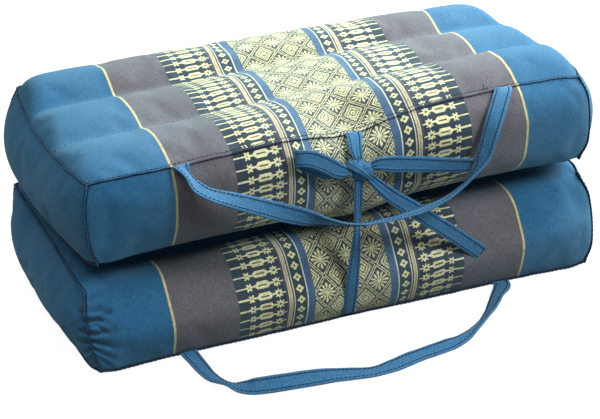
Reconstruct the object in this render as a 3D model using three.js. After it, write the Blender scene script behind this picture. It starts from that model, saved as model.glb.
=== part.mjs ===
// A folding yoga block cushion: two filled blocks, hinged at the back and folded one on the other,
// with two stitched strap handles and a ribbon tied in a half bow across the front.
// Millimetres. +X runs along the blocks, the front looks to -Y, +Z is up, and the origin is under
// the middle of the lower block, on the surface it rests on.
import * as THREE from "three";
import { mergeVertices } from "three/addons/utils/BufferGeometryUtils.js";

// ---- driving dimensions ----
const HALF_LENGTH = 190;
const HALF_WIDTH = 93;
const MEETING_HEIGHT = 79;
const MEETING_GAP = 0.4;
const STRAP_WIDTH = 13;
const STRAP_THICKNESS = 1.6;
const RIBBON_WIDTH = 12;
const RIBBON_THICKNESS = 1.4;
const HINGE_HALF_LENGTH = 176;
const LANES = 3;

const KNOT_CENTRE = [4, -108.6, 125.4];
const KNOT_HALF_SIZE = [8.4, 4.2, 7.4];
const KNOT_TILT = -0.35;
const KNOT_WAIST = 0.14;
const KNOT_WAIST_SHARPNESS = 3;

// How many cells a block's mesh has along X, along Y in each sewn channel, and along Z.
const CELLS_LONG = 30;
const CELLS_PER_LANE = 6;
const CELLS_HIGH = 6;
const HINGE_CELLS = 12;
const STRIP_STEPS_PER_ROW = 3;
const KNOT_CELLS = [18, 10];
const MERGE_DISTANCE = 0.01;
// Cells are closer together near the two ends, where the cloth turns over: 0 spaces them evenly.
const END_CROWDING = 1.15;

// How square each crown is: 2 is a round arch, and a higher power stays flat for longer.
const ROUND = 2;
const CHANNEL_ROUND = 2.2;
const END_SIDE = 4;
const LONG_SIDE = 8;
const CHANNEL_END = 28;

// The knotted ribbon draws the front in: a dent of this half width, centred on the tie.
const TIE_X = 6;
const DENT_HALF_WIDTH = 34;
const DENT_START = 50;
const DENT_REACH = 40;

const X = 0;
const Y = 1;
const Z = 2;
const AXES = [X, Y, Z];
// t - t^3 peaks at 1 / SKEW_TO_PEAK.
const SKEW_TO_PEAK = 2.6;
// A strip's section, from its first corner round: which side and which face each corner is on.
const STRIP_CORNERS = [
  [1, 1],
  [-1, 1],
  [-1, -1],
  [1, -1],
];

// ---- the two blocks ----
// corners: the eight points where three seams meet; end, side and level are -1 or +1 along X, Y, Z.
// seams: bow is how far the middle of a seam lies from the straight line between its corners, and
// skew how far it lies on one side of its second half and on the other side of its first; at gives
// the signs on the other two axes, in the order X, Y, Z.
// channels: how high each sewn channel puffs at the left and the right end, from front to back.
// leftCrown, rightCrown: how far an end panel stands out at the front and the back, and lean is how
// much more of that is at the top than at the bottom.
const upper = {
  corners: [
    { end: -1, side: -1, level: -1, point: [-HALF_LENGTH + 1, -HALF_WIDTH - 2, 83] },
    { end: 1, side: -1, level: -1, point: [HALF_LENGTH - 1, -HALF_WIDTH - 3, 88] },
    { end: -1, side: 1, level: -1, point: [-HALF_LENGTH - 6, HALF_WIDTH + 1, 80] },
    { end: 1, side: 1, level: -1, point: [HALF_LENGTH, HALF_WIDTH + 1, 81] },
    { end: -1, side: -1, level: 1, point: [-HALF_LENGTH - 1, -HALF_WIDTH, 149] },
    { end: 1, side: -1, level: 1, point: [HALF_LENGTH - 1, -HALF_WIDTH, 157] },
    { end: -1, side: 1, level: 1, point: [-HALF_LENGTH - 2, HALF_WIDTH, 150] },
    { end: 1, side: 1, level: 1, point: [HALF_LENGTH, HALF_WIDTH, 152] },
  ],
  seams: [
    { along: X, at: [-1, -1], bow: [0, 0, 3] },
    { along: X, at: [1, -1], bow: [0, 0, 1] },
    { along: X, at: [-1, 1], bow: [0, 0, 2], skew: [0, 0, 2.5] },
    { along: X, at: [1, 1], bow: [0, 1, 2] },
    { along: Y, at: [-1, -1], bow: [-5, 0, -1] },
    { along: Y, at: [1, -1], bow: [5, 0, 1] },
    { along: Y, at: [-1, 1], bow: [-6, 0, -4] },
    { along: Y, at: [1, 1], bow: [5, 0, 1] },
    { along: Z, at: [-1, -1], bow: [-3, -1, 0] },
    { along: Z, at: [1, -1], bow: [7, -2, 0] },
    { along: Z, at: [-1, 1], bow: [-4, 2, 0] },
    { along: Z, at: [1, 1], bow: [5, 2, 0] },
  ],
  channels: [
    { left: 6, right: 12 },
    { left: 6, right: 8 },
    { left: 18, right: 8 },
  ],
  outerLevel: 1,
  outerArch: { left: 7, right: 4 },
  innerCrown: 8,
  frontCrown: { left: 13, right: 17 },
  backCrown: { left: 13, right: 13 },
  leftCrown: { front: 10, back: 12, lean: 0.4 },
  rightCrown: { front: 15, back: 15, lean: 0 },
  tieDrop: 10,
  tieDent: 5,
  lowest: MEETING_HEIGHT + MEETING_GAP / 2,
  highest: Infinity,
};

const lower = {
  corners: [
    { end: -1, side: -1, level: -1, point: [-HALF_LENGTH + 1, -HALF_WIDTH - 3, 3.5] },
    { end: 1, side: -1, level: -1, point: [HALF_LENGTH + 1, -HALF_WIDTH - 3, 3] },
    { end: -1, side: 1, level: -1, point: [-HALF_LENGTH - 6, HALF_WIDTH - 1, 5] },
    { end: 1, side: 1, level: -1, point: [HALF_LENGTH, HALF_WIDTH - 1, 5] },
    { end: -1, side: -1, level: 1, point: [-HALF_LENGTH - 7, -HALF_WIDTH + 12, 62] },
    { end: 1, side: -1, level: 1, point: [HALF_LENGTH + 9, -HALF_WIDTH + 10, 70] },
    { end: -1, side: 1, level: 1, point: [-HALF_LENGTH - 11, HALF_WIDTH - 2, 74] },
    { end: 1, side: 1, level: 1, point: [HALF_LENGTH + 2, HALF_WIDTH - 2, 74] },
  ],
  seams: [
    { along: X, at: [-1, -1], bow: [0, 0, 0] },
    { along: X, at: [1, -1], bow: [0, 0, 0] },
    { along: X, at: [-1, 1], bow: [0, 12, 4] },
    { along: X, at: [1, 1], bow: [0, 0, 1] },
    { along: Y, at: [-1, -1], bow: [-8, 0, 0] },
    { along: Y, at: [1, -1], bow: [6, 0, 0] },
    { along: Y, at: [-1, 1], bow: [-1, 0, 0] },
    { along: Y, at: [1, 1], bow: [3, 0, 0] },
    { along: Z, at: [-1, -1], bow: [-1, -1, 0] },
    { along: Z, at: [1, -1], bow: [7, -2, 0] },
    { along: Z, at: [-1, 1], bow: [-4, 2, 0] },
    { along: Z, at: [1, 1], bow: [4, 2, 0] },
  ],
  channels: [
    { left: 6, right: 6 },
    { left: 6, right: 6 },
    { left: 6, right: 6 },
  ],
  outerLevel: -1,
  outerArch: { left: 2, right: 2 },
  innerCrown: 14,
  frontCrown: { left: 12, right: 13 },
  backCrown: { left: 12, right: 12 },
  leftCrown: { front: 13, back: 12, lean: -0.1 },
  rightCrown: { front: 15, back: 15, lean: 0 },
  tieDrop: 2,
  tieDent: 4,
  lowest: 0,
  highest: MEETING_HEIGHT - MEETING_GAP / 2,
};

// ---- the straps and ribbons ----
// Each row is a place along the strip: its middle, the way its face looks, and its width there.
const upperHandle = [
  { at: [-123.4, -95, 149.7], faces: [0, -0.4, 0.92], wide: STRAP_WIDTH },
  { at: [-123, -98.6, 148.2], faces: [0.15, -0.47, 0.86], wide: STRAP_WIDTH },
  { at: [-120.5, -104.5, 144], faces: [0.35, -0.5, 0.8], wide: STRAP_WIDTH },
  { at: [-117, -110.5, 138.5], faces: [0.38, -0.42, 0.83], wide: STRAP_WIDTH },
  { at: [-111, -115.5, 134.4], faces: [0.29, -0.35, 0.89], wide: STRAP_WIDTH },
  { at: [-102, -119, 130.8], faces: [0.17, -0.52, 0.84], wide: STRAP_WIDTH },
  { at: [-90.5, -121.5, 126.4], faces: [0.16, -0.68, 0.72], wide: STRAP_WIDTH },
  { at: [-77, -124, 120.8], faces: [0.1, -0.8, 0.59], wide: STRAP_WIDTH },
  { at: [-63.5, -126, 115], faces: [0.02, -0.93, 0.37], wide: STRAP_WIDTH },
  { at: [-48.5, -128, 109], faces: [-0.12, -0.99, 0], wide: STRAP_WIDTH },
  { at: [-34, -129.5, 103], faces: [-0.22, -0.89, -0.39], wide: STRAP_WIDTH },
  { at: [-18.5, -130, 97.4], faces: [-0.2, -0.7, -0.67], wide: STRAP_WIDTH },
  { at: [-4, -130, 94.2], faces: [-0.08, -0.5, -0.86], wide: STRAP_WIDTH },
  { at: [9.5, -130, 93.6], faces: [0.01, -0.24, -0.97], wide: STRAP_WIDTH },
  { at: [24, -129.5, 93.4], faces: [0, -0.1, -0.99], wide: STRAP_WIDTH },
  { at: [40, -128.5, 94.4], faces: [0.1, 0.01, -0.99], wide: STRAP_WIDTH },
  { at: [58, -127, 97.4], faces: [0.25, 0.02, -0.97], wide: STRAP_WIDTH },
  { at: [72, -125.5, 102.4], faces: [0.42, 0.02, -0.91], wide: STRAP_WIDTH },
  { at: [82.4, -124.9, 109.2], faces: [0.54, 0.02, -0.84], wide: STRAP_WIDTH },
  { at: [90, -123.9, 116.2], faces: [0.69, 0.12, -0.7], wide: STRAP_WIDTH },
  { at: [95, -122.4, 124.4], faces: [0.8, 0.27, -0.5], wide: STRAP_WIDTH },
  { at: [99, -121, 133.8], faces: [0.78, 0.45, -0.4], wide: STRAP_WIDTH },
  { at: [103.2, -118.6, 142.9], faces: [0.62, 0.55, -0.5], wide: STRAP_WIDTH },
  { at: [108.6, -114, 150.4], faces: [0.45, 0.5, -0.72], wide: STRAP_WIDTH },
  { at: [114.8, -107.4, 156.4], faces: [0.31, 0.34, -0.89], wide: STRAP_WIDTH },
  { at: [120.2, -101, 160.2], faces: [0.14, 0.2, -0.97], wide: STRAP_WIDTH },
  { at: [122.4, -97.6, 161], faces: [0.03, 0.15, -0.98], wide: STRAP_WIDTH },
  { at: [122.9, -94.8, 161.2], faces: [0, 0.1, -0.99], wide: STRAP_WIDTH },
];

const lowerHandle = [
  { at: [-127.5, -97.5, 4.2], faces: [0, -0.1, 0.99], wide: STRAP_WIDTH },
  { at: [-127, -103, 3.6], faces: [0.07, -0.05, 1], wide: STRAP_WIDTH },
  { at: [-126, -116, 3.6], faces: [0.2, 0, 0.97], wide: STRAP_WIDTH },
  { at: [-125, -130, 3.8], faces: [0.24, 0.02, 0.97], wide: STRAP_WIDTH },
  { at: [-122, -141, 3.4], faces: [0.18, 0.03, 0.98], wide: STRAP_WIDTH },
  { at: [-116.5, -150, 3.2], faces: [0.16, 0.1, 0.98], wide: STRAP_WIDTH },
  { at: [-109, -157.5, 3.4], faces: [-0.12, -0.1, 0.98], wide: STRAP_WIDTH },
  { at: [-99.5, -163.5, 5], faces: [-0.25, -0.48, 0.82], wide: STRAP_WIDTH },
  { at: [-84, -167, 5.6], faces: [-0.08, -0.6, 0.8], wide: STRAP_WIDTH },
  { at: [-67.5, -169, 5.4], faces: [-0.01, -0.56, 0.83], wide: STRAP_WIDTH },
  { at: [-50, -170.5, 4.4], faces: [0.02, -0.38, 0.92], wide: STRAP_WIDTH },
  { at: [-33.5, -173, 3], faces: [0.02, -0.17, 0.99], wide: STRAP_WIDTH },
  { at: [-17, -175.5, 2], faces: [0.01, 0, 1], wide: STRAP_WIDTH },
  { at: [-1, -174.5, 2.6], faces: [-0.01, -0.13, 0.99], wide: STRAP_WIDTH },
  { at: [15, -171, 3], faces: [0.03, -0.15, 0.99], wide: STRAP_WIDTH },
  { at: [32, -168, 2.8], faces: [0.02, -0.13, 0.99], wide: STRAP_WIDTH },
  { at: [47, -165.5, 3], faces: [0, -0.12, 0.99], wide: STRAP_WIDTH },
  { at: [58.5, -162.5, 3.4], faces: [-0.15, 0.1, 0.98], wide: STRAP_WIDTH },
  { at: [69, -157.5, 5], faces: [-0.33, 0.4, 0.84], wide: STRAP_WIDTH },
  { at: [81, -149.5, 6], faces: [-0.43, 0.51, 0.74], wide: STRAP_WIDTH },
  { at: [93.5, -138, 5.8], faces: [-0.46, 0.45, 0.77], wide: STRAP_WIDTH },
  { at: [107, -121, 5], faces: [-0.35, 0.32, 0.88], wide: STRAP_WIDTH },
  { at: [117.4, -108.6, 3.8], faces: [-0.13, 0.08, 0.98], wide: STRAP_WIDTH },
  { at: [121, -102.8, 3.6], faces: [-0.04, 0, 0.99], wide: STRAP_WIDTH },
  { at: [121.5, -98.2, 3.6], faces: [0, -0.1, 0.99], wide: STRAP_WIDTH },
];

const upperRibbon = [
  { at: [7.2, -89.6, 146.4], faces: [0, -0.3, 0.95], wide: RIBBON_WIDTH },
  { at: [6.8, -93, 145.4], faces: [0, -0.5, 0.85], wide: 11.6 },
  { at: [5, -99, 141.4], faces: [0, -0.75, 0.65], wide: 10.5 },
  { at: [3.8, -104, 136.6], faces: [0, -0.85, 0.5], wide: 8.5 },
  { at: [3.6, -107.2, 133.4], faces: [0, -0.85, 0.5], wide: 6.5 },
];

const lowerRibbon = [
  { at: [-1.8, -94.8, 4.2], faces: [0, -0.8, -0.6], wide: 10.5 },
  { at: [-2.2, -97.4, 9], faces: [0, -0.9, -0.45], wide: 10.5 },
  { at: [-2.2, -100.4, 18], faces: [0, -0.97, -0.2], wide: 10.5 },
  { at: [-1.6, -102.8, 31], faces: [0, -1, 0], wide: 10.5 },
  { at: [0, -104.2, 50], faces: [0.2, -1, 0], wide: 10 },
  { at: [1.8, -105, 70], faces: [0.5, -0.85, 0], wide: 9 },
  { at: [2.4, -106, 84], faces: [0.6, -0.8, 0], wide: 8 },
  { at: [2.2, -108, 98], faces: [0.3, -0.95, 0], wide: 7.5 },
  { at: [2.2, -108.8, 109], faces: [0.1, -1, 0], wide: 7 },
  { at: [2.8, -109, 117.6], faces: [0, -1, 0], wide: 6.5 },
];

const bowLoop = [
  { at: [-4.4, -110, 126.2], faces: [0, -0.95, 0.3], wide: 7.5 },
  { at: [-9, -111.2, 128], faces: [0, -0.95, 0.3], wide: 10 },
  { at: [-14.6, -112, 131], faces: [0, -0.95, 0.3], wide: RIBBON_WIDTH },
  { at: [-24, -112.8, 138], faces: [0, -0.95, 0.3], wide: RIBBON_WIDTH },
  { at: [-33.5, -113, 143.6], faces: [0, -0.95, 0.25], wide: RIBBON_WIDTH },
  { at: [-39.4, -112.8, 145.2], faces: [0, -0.97, 0.2], wide: RIBBON_WIDTH },
  { at: [-42.8, -112, 145.4], faces: [-0.6, -0.8, 0.1], wide: RIBBON_WIDTH },
  { at: [-44, -110.2, 145], faces: [-1, 0, 0], wide: RIBBON_WIDTH },
  { at: [-42.8, -108.6, 144], faces: [-0.6, 0.8, -0.1], wide: RIBBON_WIDTH },
  { at: [-38, -107.8, 141.6], faces: [0, 0.97, -0.2], wide: RIBBON_WIDTH },
  { at: [-29, -107.4, 137], faces: [0, 0.95, -0.25], wide: RIBBON_WIDTH },
  { at: [-20, -107, 132.2], faces: [0, 0.95, -0.3], wide: 11 },
  { at: [-12, -106.6, 128.2], faces: [0, 0.95, -0.3], wide: 8.5 },
  { at: [-4.6, -106.6, 125.8], faces: [0, 0.95, -0.2], wide: 6 },
];

const rightTail = [
  { at: [12.3, -109.6, 127.6], faces: [0, -0.95, 0.2], wide: 7.5 },
  { at: [17, -111.6, 128.8], faces: [0, -0.95, 0.25], wide: 11 },
  { at: [29, -112.8, 127], faces: [0, -0.98, 0.15], wide: RIBBON_WIDTH },
  { at: [50, -113.4, 122.6], faces: [0, -1, 0.05], wide: RIBBON_WIDTH },
  { at: [72, -113.4, 117.6], faces: [0, -0.98, -0.15], wide: RIBBON_WIDTH },
  { at: [90.6, -113.2, 113.6], faces: [0, -0.95, -0.3], wide: RIBBON_WIDTH },
];

const diagonalTail = [
  { at: [9.8, -109.6, 120.2], faces: [0, -0.95, 0.2], wide: 6.5 },
  { at: [15.5, -112.2, 113.8], faces: [0, -0.95, 0.3], wide: 9 },
  { at: [27, -113.8, 102], faces: [0, -0.97, 0.2], wide: 11 },
  { at: [41, -113.4, 90.4], faces: [0, -0.97, 0.2], wide: RIBBON_WIDTH },
  { at: [56, -110.8, 77], faces: [0.05, -0.98, 0.15], wide: RIBBON_WIDTH },
  { at: [76, -107.4, 59.4], faces: [0.05, -0.98, 0.15], wide: RIBBON_WIDTH },
  { at: [92, -105.2, 45], faces: [0.05, -0.98, 0.1], wide: RIBBON_WIDTH },
  { at: [103.4, -104.2, 34.6], faces: [0.05, -1, 0.05], wide: RIBBON_WIDTH },
];

// The hinge lies in the hollow between the two blocks' backs; it is the same all along.
const hingeSection = [
  { y: 100, z: 87.5 },
  { y: 97.5, z: 83.5 },
  { y: 95.6, z: 79.5 },
  { y: 95.4, z: 75 },
  { y: 96, z: 70.5 },
  { y: 98, z: 66.5 },
];

// ---- shapes ----
function cornerPoint(block, end, side, level) {
  const row = block.corners.find((c) => c.end === end && c.side === side && c.level === level);
  return new THREE.Vector3(...row.point);
}

// A point of the seam that runs along one axis, with t from -1 to 1 between its corners.
function seamPoint(block, along, first, second, t) {
  const ends = [-1, 1].map((sign) => {
    const signs = [first, second];
    signs.splice(along, 0, sign);
    return cornerPoint(block, ...signs);
  });
  const { bow, skew = [0, 0, 0] } = block.seams.find(
    (s) => s.along === along && s.at[0] === first && s.at[1] === second,
  );
  const point = ends[0].lerp(ends[1], (t + 1) / 2);
  point.addScaledVector(new THREE.Vector3(...bow), 1 - t * t);
  return point.addScaledVector(new THREE.Vector3(...skew), SKEW_TO_PEAK * (t - t ** 3));
}

const arch = (t, power) => 1 - Math.abs(t) ** power;
const between = (from, to, t) => from + ((to - from) * (t + 1)) / 2;

// The height of the sewn channels: round between the stitched lines, and low at the ends.
function channelHeight(block, u, v) {
  const place = ((v + 1) / 2) * LANES;
  const lane = Math.min(Math.floor(place), LANES - 1);
  const across = 2 * (place - lane) - 1;
  const { left, right } = block.channels[lane];
  const puff = between(left, right, u) * arch(across, CHANNEL_ROUND);
  const whole = between(block.outerArch.left, block.outerArch.right, u) * arch(v, ROUND);
  return (whole + puff) * arch(u, CHANNEL_END);
}

// How far a face stands out of the surface that its four seams span.
function crown(block, axis, sign, u, v) {
  if (axis === X) {
    const { front, back, lean } = sign < 0 ? block.leftCrown : block.rightCrown;
    return between(front, back, u) * arch(u, END_SIDE) * arch(v, ROUND) * (1 + lean * v);
  }
  if (axis === Y) {
    const side = sign < 0 ? block.frontCrown : block.backCrown;
    return between(side.left, side.right, u) * arch(u, LONG_SIDE) * arch(v, ROUND);
  }
  if (sign === block.outerLevel) {
    return channelHeight(block, u, v);
  }
  return block.innerCrown * arch(u, LONG_SIDE) * arch(v, ROUND);
}

// A point of one face: the surface spanned by its four seams, plus its crown. u and v run from -1
// to 1 along the face's two axes, in the order X, Y, Z.
function facePoint(block, axis, sign, u, v) {
  const along = AXES.filter((other) => other !== axis);
  const seam = (which, otherSign, t) => {
    const signs = axis < along[1 - which] ? [sign, otherSign] : [otherSign, sign];
    return seamPoint(block, along[which], ...signs, t);
  };
  const point = new THREE.Vector3();
  for (const edge of [-1, 1]) {
    point.addScaledVector(seam(0, edge, u), (1 + edge * v) / 2);
    point.addScaledVector(seam(1, edge, v), (1 + edge * u) / 2);
    for (const corner of [-1, 1]) {
      const weight = ((1 + edge * v) * (1 + corner * u)) / 4;
      point.addScaledVector(seam(0, edge, corner), -weight);
    }
  }
  const height = crown(block, axis, sign, u, v);
  point.setComponent(axis, point.getComponent(axis) + sign * height);
  return drawnIn(block, point);
}

// The ribbon's pull on the front, and the flat places where the block meets what it lies on.
function drawnIn(block, point) {
  const nearTie = Math.exp(-(((point.x - TIE_X) / DENT_HALF_WIDTH) ** 2));
  const nearFront = THREE.MathUtils.smoothstep(-point.y, DENT_START, DENT_START + DENT_REACH);
  point.y += block.tieDent * nearTie * nearFront;
  point.z -= block.tieDrop * nearTie * nearFront;
  point.z = THREE.MathUtils.clamp(point.z, block.lowest, block.highest);
  return point;
}

function gridLines(axis) {
  const cells = [CELLS_LONG, CELLS_PER_LANE * LANES, CELLS_HIGH][axis];
  const crowding = axis === X ? END_CROWDING : 0;
  return Array.from({ length: cells + 1 }, (_, i) => {
    const even = (2 * i) / cells - 1;
    return crowding === 0 ? even : Math.sin(even * crowding) / Math.sin(crowding);
  });
}

function closedGeometry(positions, indices) {
  const geometry = new THREE.BufferGeometry();
  geometry.setAttribute("position", new THREE.Float32BufferAttribute(positions, 3));
  geometry.setIndex(indices);
  const merged = mergeVertices(geometry, MERGE_DISTANCE);
  merged.computeVertexNormals();
  return merged;
}

function blockGeometry(block) {
  const positions = [];
  const indices = [];
  for (const axis of AXES) {
    const [us, vs] = AXES.filter((other) => other !== axis).map(gridLines);
    for (const sign of [-1, 1]) {
      const start = positions.length / 3;
      for (const v of vs) {
        for (const u of us) {
          positions.push(...facePoint(block, axis, sign, u, v).toArray());
        }
      }
      const turned = (axis === Y) === sign > 0;
      for (let j = 0; j + 1 < vs.length; j++) {
        for (let i = 0; i + 1 < us.length; i++) {
          const a = start + j * us.length + i;
          const [b, c, d] = [a + 1, a + us.length + 1, a + us.length];
          indices.push(...(turned ? [a, c, b, a, d, c] : [a, b, c, a, c, d]));
        }
      }
    }
  }
  return closedGeometry(positions, indices);
}

// A closed strip from a list of its section rings.
function ringsGeometry(rings) {
  const positions = rings.flat().flatMap((point) => point.toArray());
  const indices = [];
  const count = STRIP_CORNERS.length;
  for (let i = 0; i + 1 < rings.length; i++) {
    for (let k = 0; k < count; k++) {
      const [a, b] = [count * i + k, count * i + ((k + 1) % count)];
      indices.push(a, a + count, b, b, a + count, b + count);
    }
  }
  const last = count * (rings.length - 1);
  indices.push(0, 1, 2, 0, 2, 3);
  indices.push(last, last + 2, last + 1, last, last + 3, last + 2);
  return closedGeometry(positions, indices);
}

// A flat strap or ribbon that passes through its rows' places, turned to look their way.
function stripGeometry(rows, thickness) {
  const middle = new THREE.CatmullRomCurve3(rows.map((row) => new THREE.Vector3(...row.at)));
  const facing = new THREE.CatmullRomCurve3(rows.map((row) => new THREE.Vector3(...row.faces)));
  const steps = (rows.length - 1) * STRIP_STEPS_PER_ROW;
  const rings = [];
  for (let i = 0; i <= steps; i++) {
    const t = i / steps;
    const row = Math.min(Math.floor(i / STRIP_STEPS_PER_ROW), rows.length - 2);
    const within = i / STRIP_STEPS_PER_ROW - row;
    const half = THREE.MathUtils.lerp(rows[row].wide, rows[row + 1].wide, within) / 2;
    const centre = middle.getPoint(t);
    const ahead = middle.getTangent(t);
    const out = facing.getPoint(t);
    out.addScaledVector(ahead, -out.dot(ahead)).normalize();
    const across = new THREE.Vector3().crossVectors(ahead, out);
    const ring = STRIP_CORNERS.map(([side, face]) => {
      const corner = centre.clone().addScaledVector(across, side * half);
      return corner.addScaledVector(out, (face * thickness) / 2);
    });
    rings.push(ring);
  }
  return ringsGeometry(rings);
}

function hingeGeometry() {
  const centres = hingeSection.map(({ y, z }) => new THREE.Vector2(y, z));
  const outward = centres.map((_, i) => {
    const before = centres[Math.max(i - 1, 0)];
    const after = centres[Math.min(i + 1, centres.length - 1)];
    const along = after.clone().sub(before).normalize();
    return new THREE.Vector2(-along.y, along.x);
  });
  const outline = [
    ...centres.map((c, i) => c.clone().addScaledVector(outward[i], RIBBON_THICKNESS / 2)),
    ...centres.map((c, i) => c.clone().addScaledVector(outward[i], -RIBBON_THICKNESS / 2)).reverse(),
  ];
  const geometry = new THREE.ExtrudeGeometry(new THREE.Shape(outline), {
    depth: 2 * HINGE_HALF_LENGTH,
    steps: HINGE_CELLS,
    bevelEnabled: false,
  });
  geometry.applyMatrix4(new THREE.Matrix4().set(
    0, 0, 1, -HINGE_HALF_LENGTH,
    1, 0, 0, 0,
    0, 1, 0, 0,
    0, 0, 0, 1,
  ));
  return geometry;
}

// The knot: a small lump, a little narrower round its middle where the ribbon wraps it.
function knotGeometry() {
  const geometry = new THREE.SphereGeometry(1, ...KNOT_CELLS);
  const place = geometry.getAttribute("position");
  for (let i = 0; i < place.count; i++) {
    const point = new THREE.Vector3().fromBufferAttribute(place, i);
    const waist = 1 - KNOT_WAIST * Math.exp(-((point.x * KNOT_WAIST_SHARPNESS) ** 2));
    place.setXYZ(i, point.x, point.y * waist, point.z * waist);
  }
  geometry.scale(...KNOT_HALF_SIZE);
  geometry.rotateY(KNOT_TILT);
  geometry.translate(...KNOT_CENTRE);
  return geometry;
}

// ---- the model ----
const strap = (rows) => stripGeometry(rows, STRAP_THICKNESS);
const ribbon = (rows) => stripGeometry(rows, RIBBON_THICKNESS);
const panelCloth = { color: 0x4a93bd, roughness: 0.9, metalness: 0 };
const stripCloth = { color: 0x3f86b4, roughness: 0.85, metalness: 0 };

const pieces = [
  { name: "block_lower", cloth: panelCloth, shape: blockGeometry(lower) },
  { name: "block_upper", cloth: panelCloth, shape: blockGeometry(upper) },
  { name: "hinge_strip", cloth: panelCloth, shape: hingeGeometry() },
  { name: "handle_lower", cloth: stripCloth, shape: strap(lowerHandle) },
  { name: "handle_upper", cloth: stripCloth, shape: strap(upperHandle) },
  { name: "tie_lower", cloth: stripCloth, shape: ribbon(lowerRibbon) },
  { name: "tie_upper", cloth: stripCloth, shape: ribbon(upperRibbon) },
  { name: "bow_knot", cloth: stripCloth, shape: knotGeometry() },
  { name: "bow_loop", cloth: stripCloth, shape: ribbon(bowLoop) },
  { name: "tail_right", cloth: stripCloth, shape: ribbon(rightTail) },
  { name: "tail_diagonal", cloth: stripCloth, shape: ribbon(diagonalTail) },
];

const cushion = new THREE.Group();
for (const { name, cloth, shape } of pieces) {
  const piece = new THREE.Mesh(shape, new THREE.MeshStandardMaterial(cloth));
  piece.name = name;
  cushion.add(piece);
}

export default cushion;
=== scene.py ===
"""The looks of a folding yoga block cushion: two filled blocks folded one on the other, with woven
panels, sewn channels, strap handles and a ribbon tied in a half bow across the front.

Shapes are worked out in millimetres, in the frame's axes, and go into Blender in metres.
"""

import math

import bpy
import numpy as np
from mathutils import Matrix, Vector


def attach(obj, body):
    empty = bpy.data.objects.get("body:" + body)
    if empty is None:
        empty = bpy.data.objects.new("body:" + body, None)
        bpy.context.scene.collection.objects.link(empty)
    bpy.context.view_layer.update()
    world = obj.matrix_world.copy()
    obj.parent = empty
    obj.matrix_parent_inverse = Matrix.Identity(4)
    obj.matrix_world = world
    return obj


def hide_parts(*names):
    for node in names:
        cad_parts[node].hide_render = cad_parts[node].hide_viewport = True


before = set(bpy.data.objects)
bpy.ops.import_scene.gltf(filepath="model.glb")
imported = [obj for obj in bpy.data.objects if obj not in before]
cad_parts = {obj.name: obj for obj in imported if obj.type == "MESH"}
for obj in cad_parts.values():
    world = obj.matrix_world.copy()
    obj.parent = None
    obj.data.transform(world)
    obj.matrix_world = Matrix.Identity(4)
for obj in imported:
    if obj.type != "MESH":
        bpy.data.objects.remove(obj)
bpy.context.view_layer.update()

# ---- driving dimensions, in millimetres ----
MM = 0.001
X, Y, Z = 0, 1, 2
HALF_LENGTH = 190
HALF_WIDTH = 93
MEETING_HEIGHT = 79
MEETING_GAP = 0.4
LANES = 3
STRAP_WIDTH, STRAP_THICKNESS = 13, 1.6
RIBBON_WIDTH, RIBBON_THICKNESS = 12, 1.4
HINGE_HALF_LENGTH, HINGE_FLAT_WIDTH = 176, 22
HINGE_STATIONS, HINGE_SPANS, HINGE_SWAY = 89, 5, (0.12, 6.1)

# How many cells a block's mesh has along X, across each sewn channel, and up its height.
CELLS_LONG, CELLS_PER_LANE, CELLS_HIGH = 96, 15, 20
CELLS = (CELLS_LONG, CELLS_PER_LANE * LANES, CELLS_HIGH)

# How square each crown is: 2 is a round arch, and a higher power stays flat for longer.
ROUND = 2
CHANNEL_ROUND = 2.2
END_SIDE = 4
LONG_SIDE = 8
CHANNEL_END = 28

# A skewed seam's offset is a cubic with a peak of 1 after this factor.
SKEW_TO_PEAK = 2.6

# The knotted ribbon draws the front in: a dent of this half width, centred on the tie.
TIE_X = 6
DENT_HALF_WIDTH, DENT_START, DENT_REACH = 34, 50, 40

# The lower block's rolled front seam is drawn down into the gap between the blocks.
MOUTH_Y, MOUTH_HALF_WIDTH, MOUTH_FLOOR, MOUTH_FADE = -46, 10, 40, 25

# The stuffing doesn't fill a corner: each one is drawn in by this pull, over this reach.
CORNER_PULL, CORNER_REACH = 4, 10

# The simulated filling: its frames, the furthest it moves a point, how near to a strip it is held
# back, how far from there it is free, the steps of that measure, and the cloth's settings.
FILLING_FRAMES, FILLING_CAP, STRIP_NEAR, STRIP_FADE, NEAR_STEP = 20, 1.5, 7, 12, 4
FILLING = {
    "quality": 6,
    "mass": 0.25,
    "tension_stiffness": 30,
    "compression_stiffness": 12,
    "shear_stiffness": 8,
    "bending_stiffness": 3,
    "air_damping": 2,
    "use_pressure": True,
    "uniform_pressure_force": 4,
    "shrink_min": -0.012,
    "vertex_group_mass": "sewn",
}

# A topstitched seam: a fin of doubled cloth with thread along both sides. It is thicker in the
# figured middle of a long seam, stands up a little at its ends, and widens where it meets a panel.
# Its stitches have their own size, dip and least height above the floor, in thread radii.
RIDGE_HEIGHT, RIDGE_THICKNESS, RIDGE_STEP, RIDGE_SKIRT = 0.8, 1.1, 1.5, 0.75
RIDGE_EXTRA, EXTRA_END, EXTRA_FADE = 1.5, 110, 40
EAR_HEIGHT, EAR_REACH = 0.2, 4
RIDGE_ROUGH, RIDGE_LEAN, RIDGE_FINE_LEAN, RIDGE_PHASE = (0.12, 3.1), (0.35, 4.3), (0.2, 1.9), 1.7
RIDGE_HALF = ((0.45, 1), (0.9, 0.8), (1, 0.35), (1, -1.2))
RIDGE_SECTION = (*[(-share, level) for share, level in RIDGE_HALF[::-1]], *RIDGE_HALF)
# The fin's crest takes the panel's cloth. Its sides and foot take a darker cloth, which is painted
# shadow where the fin meets the panel.
RIDGE_CREST, RIDGE_SHADOW_SIDE = 0, 1
RIDGE_CLOTHS = (RIDGE_SHADOW_SIDE, *[RIDGE_CREST] * 5, RIDGE_SHADOW_SIDE, RIDGE_SHADOW_SIDE)
RIDGE_STITCH_OUT, RIDGE_STITCH_UP = 1.1, 0.5
RIDGE_STITCH_SIZE, RIDGE_STITCH_DIP, RIDGE_STITCH_FLOOR = 1.2, 0.2, 1.5

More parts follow.
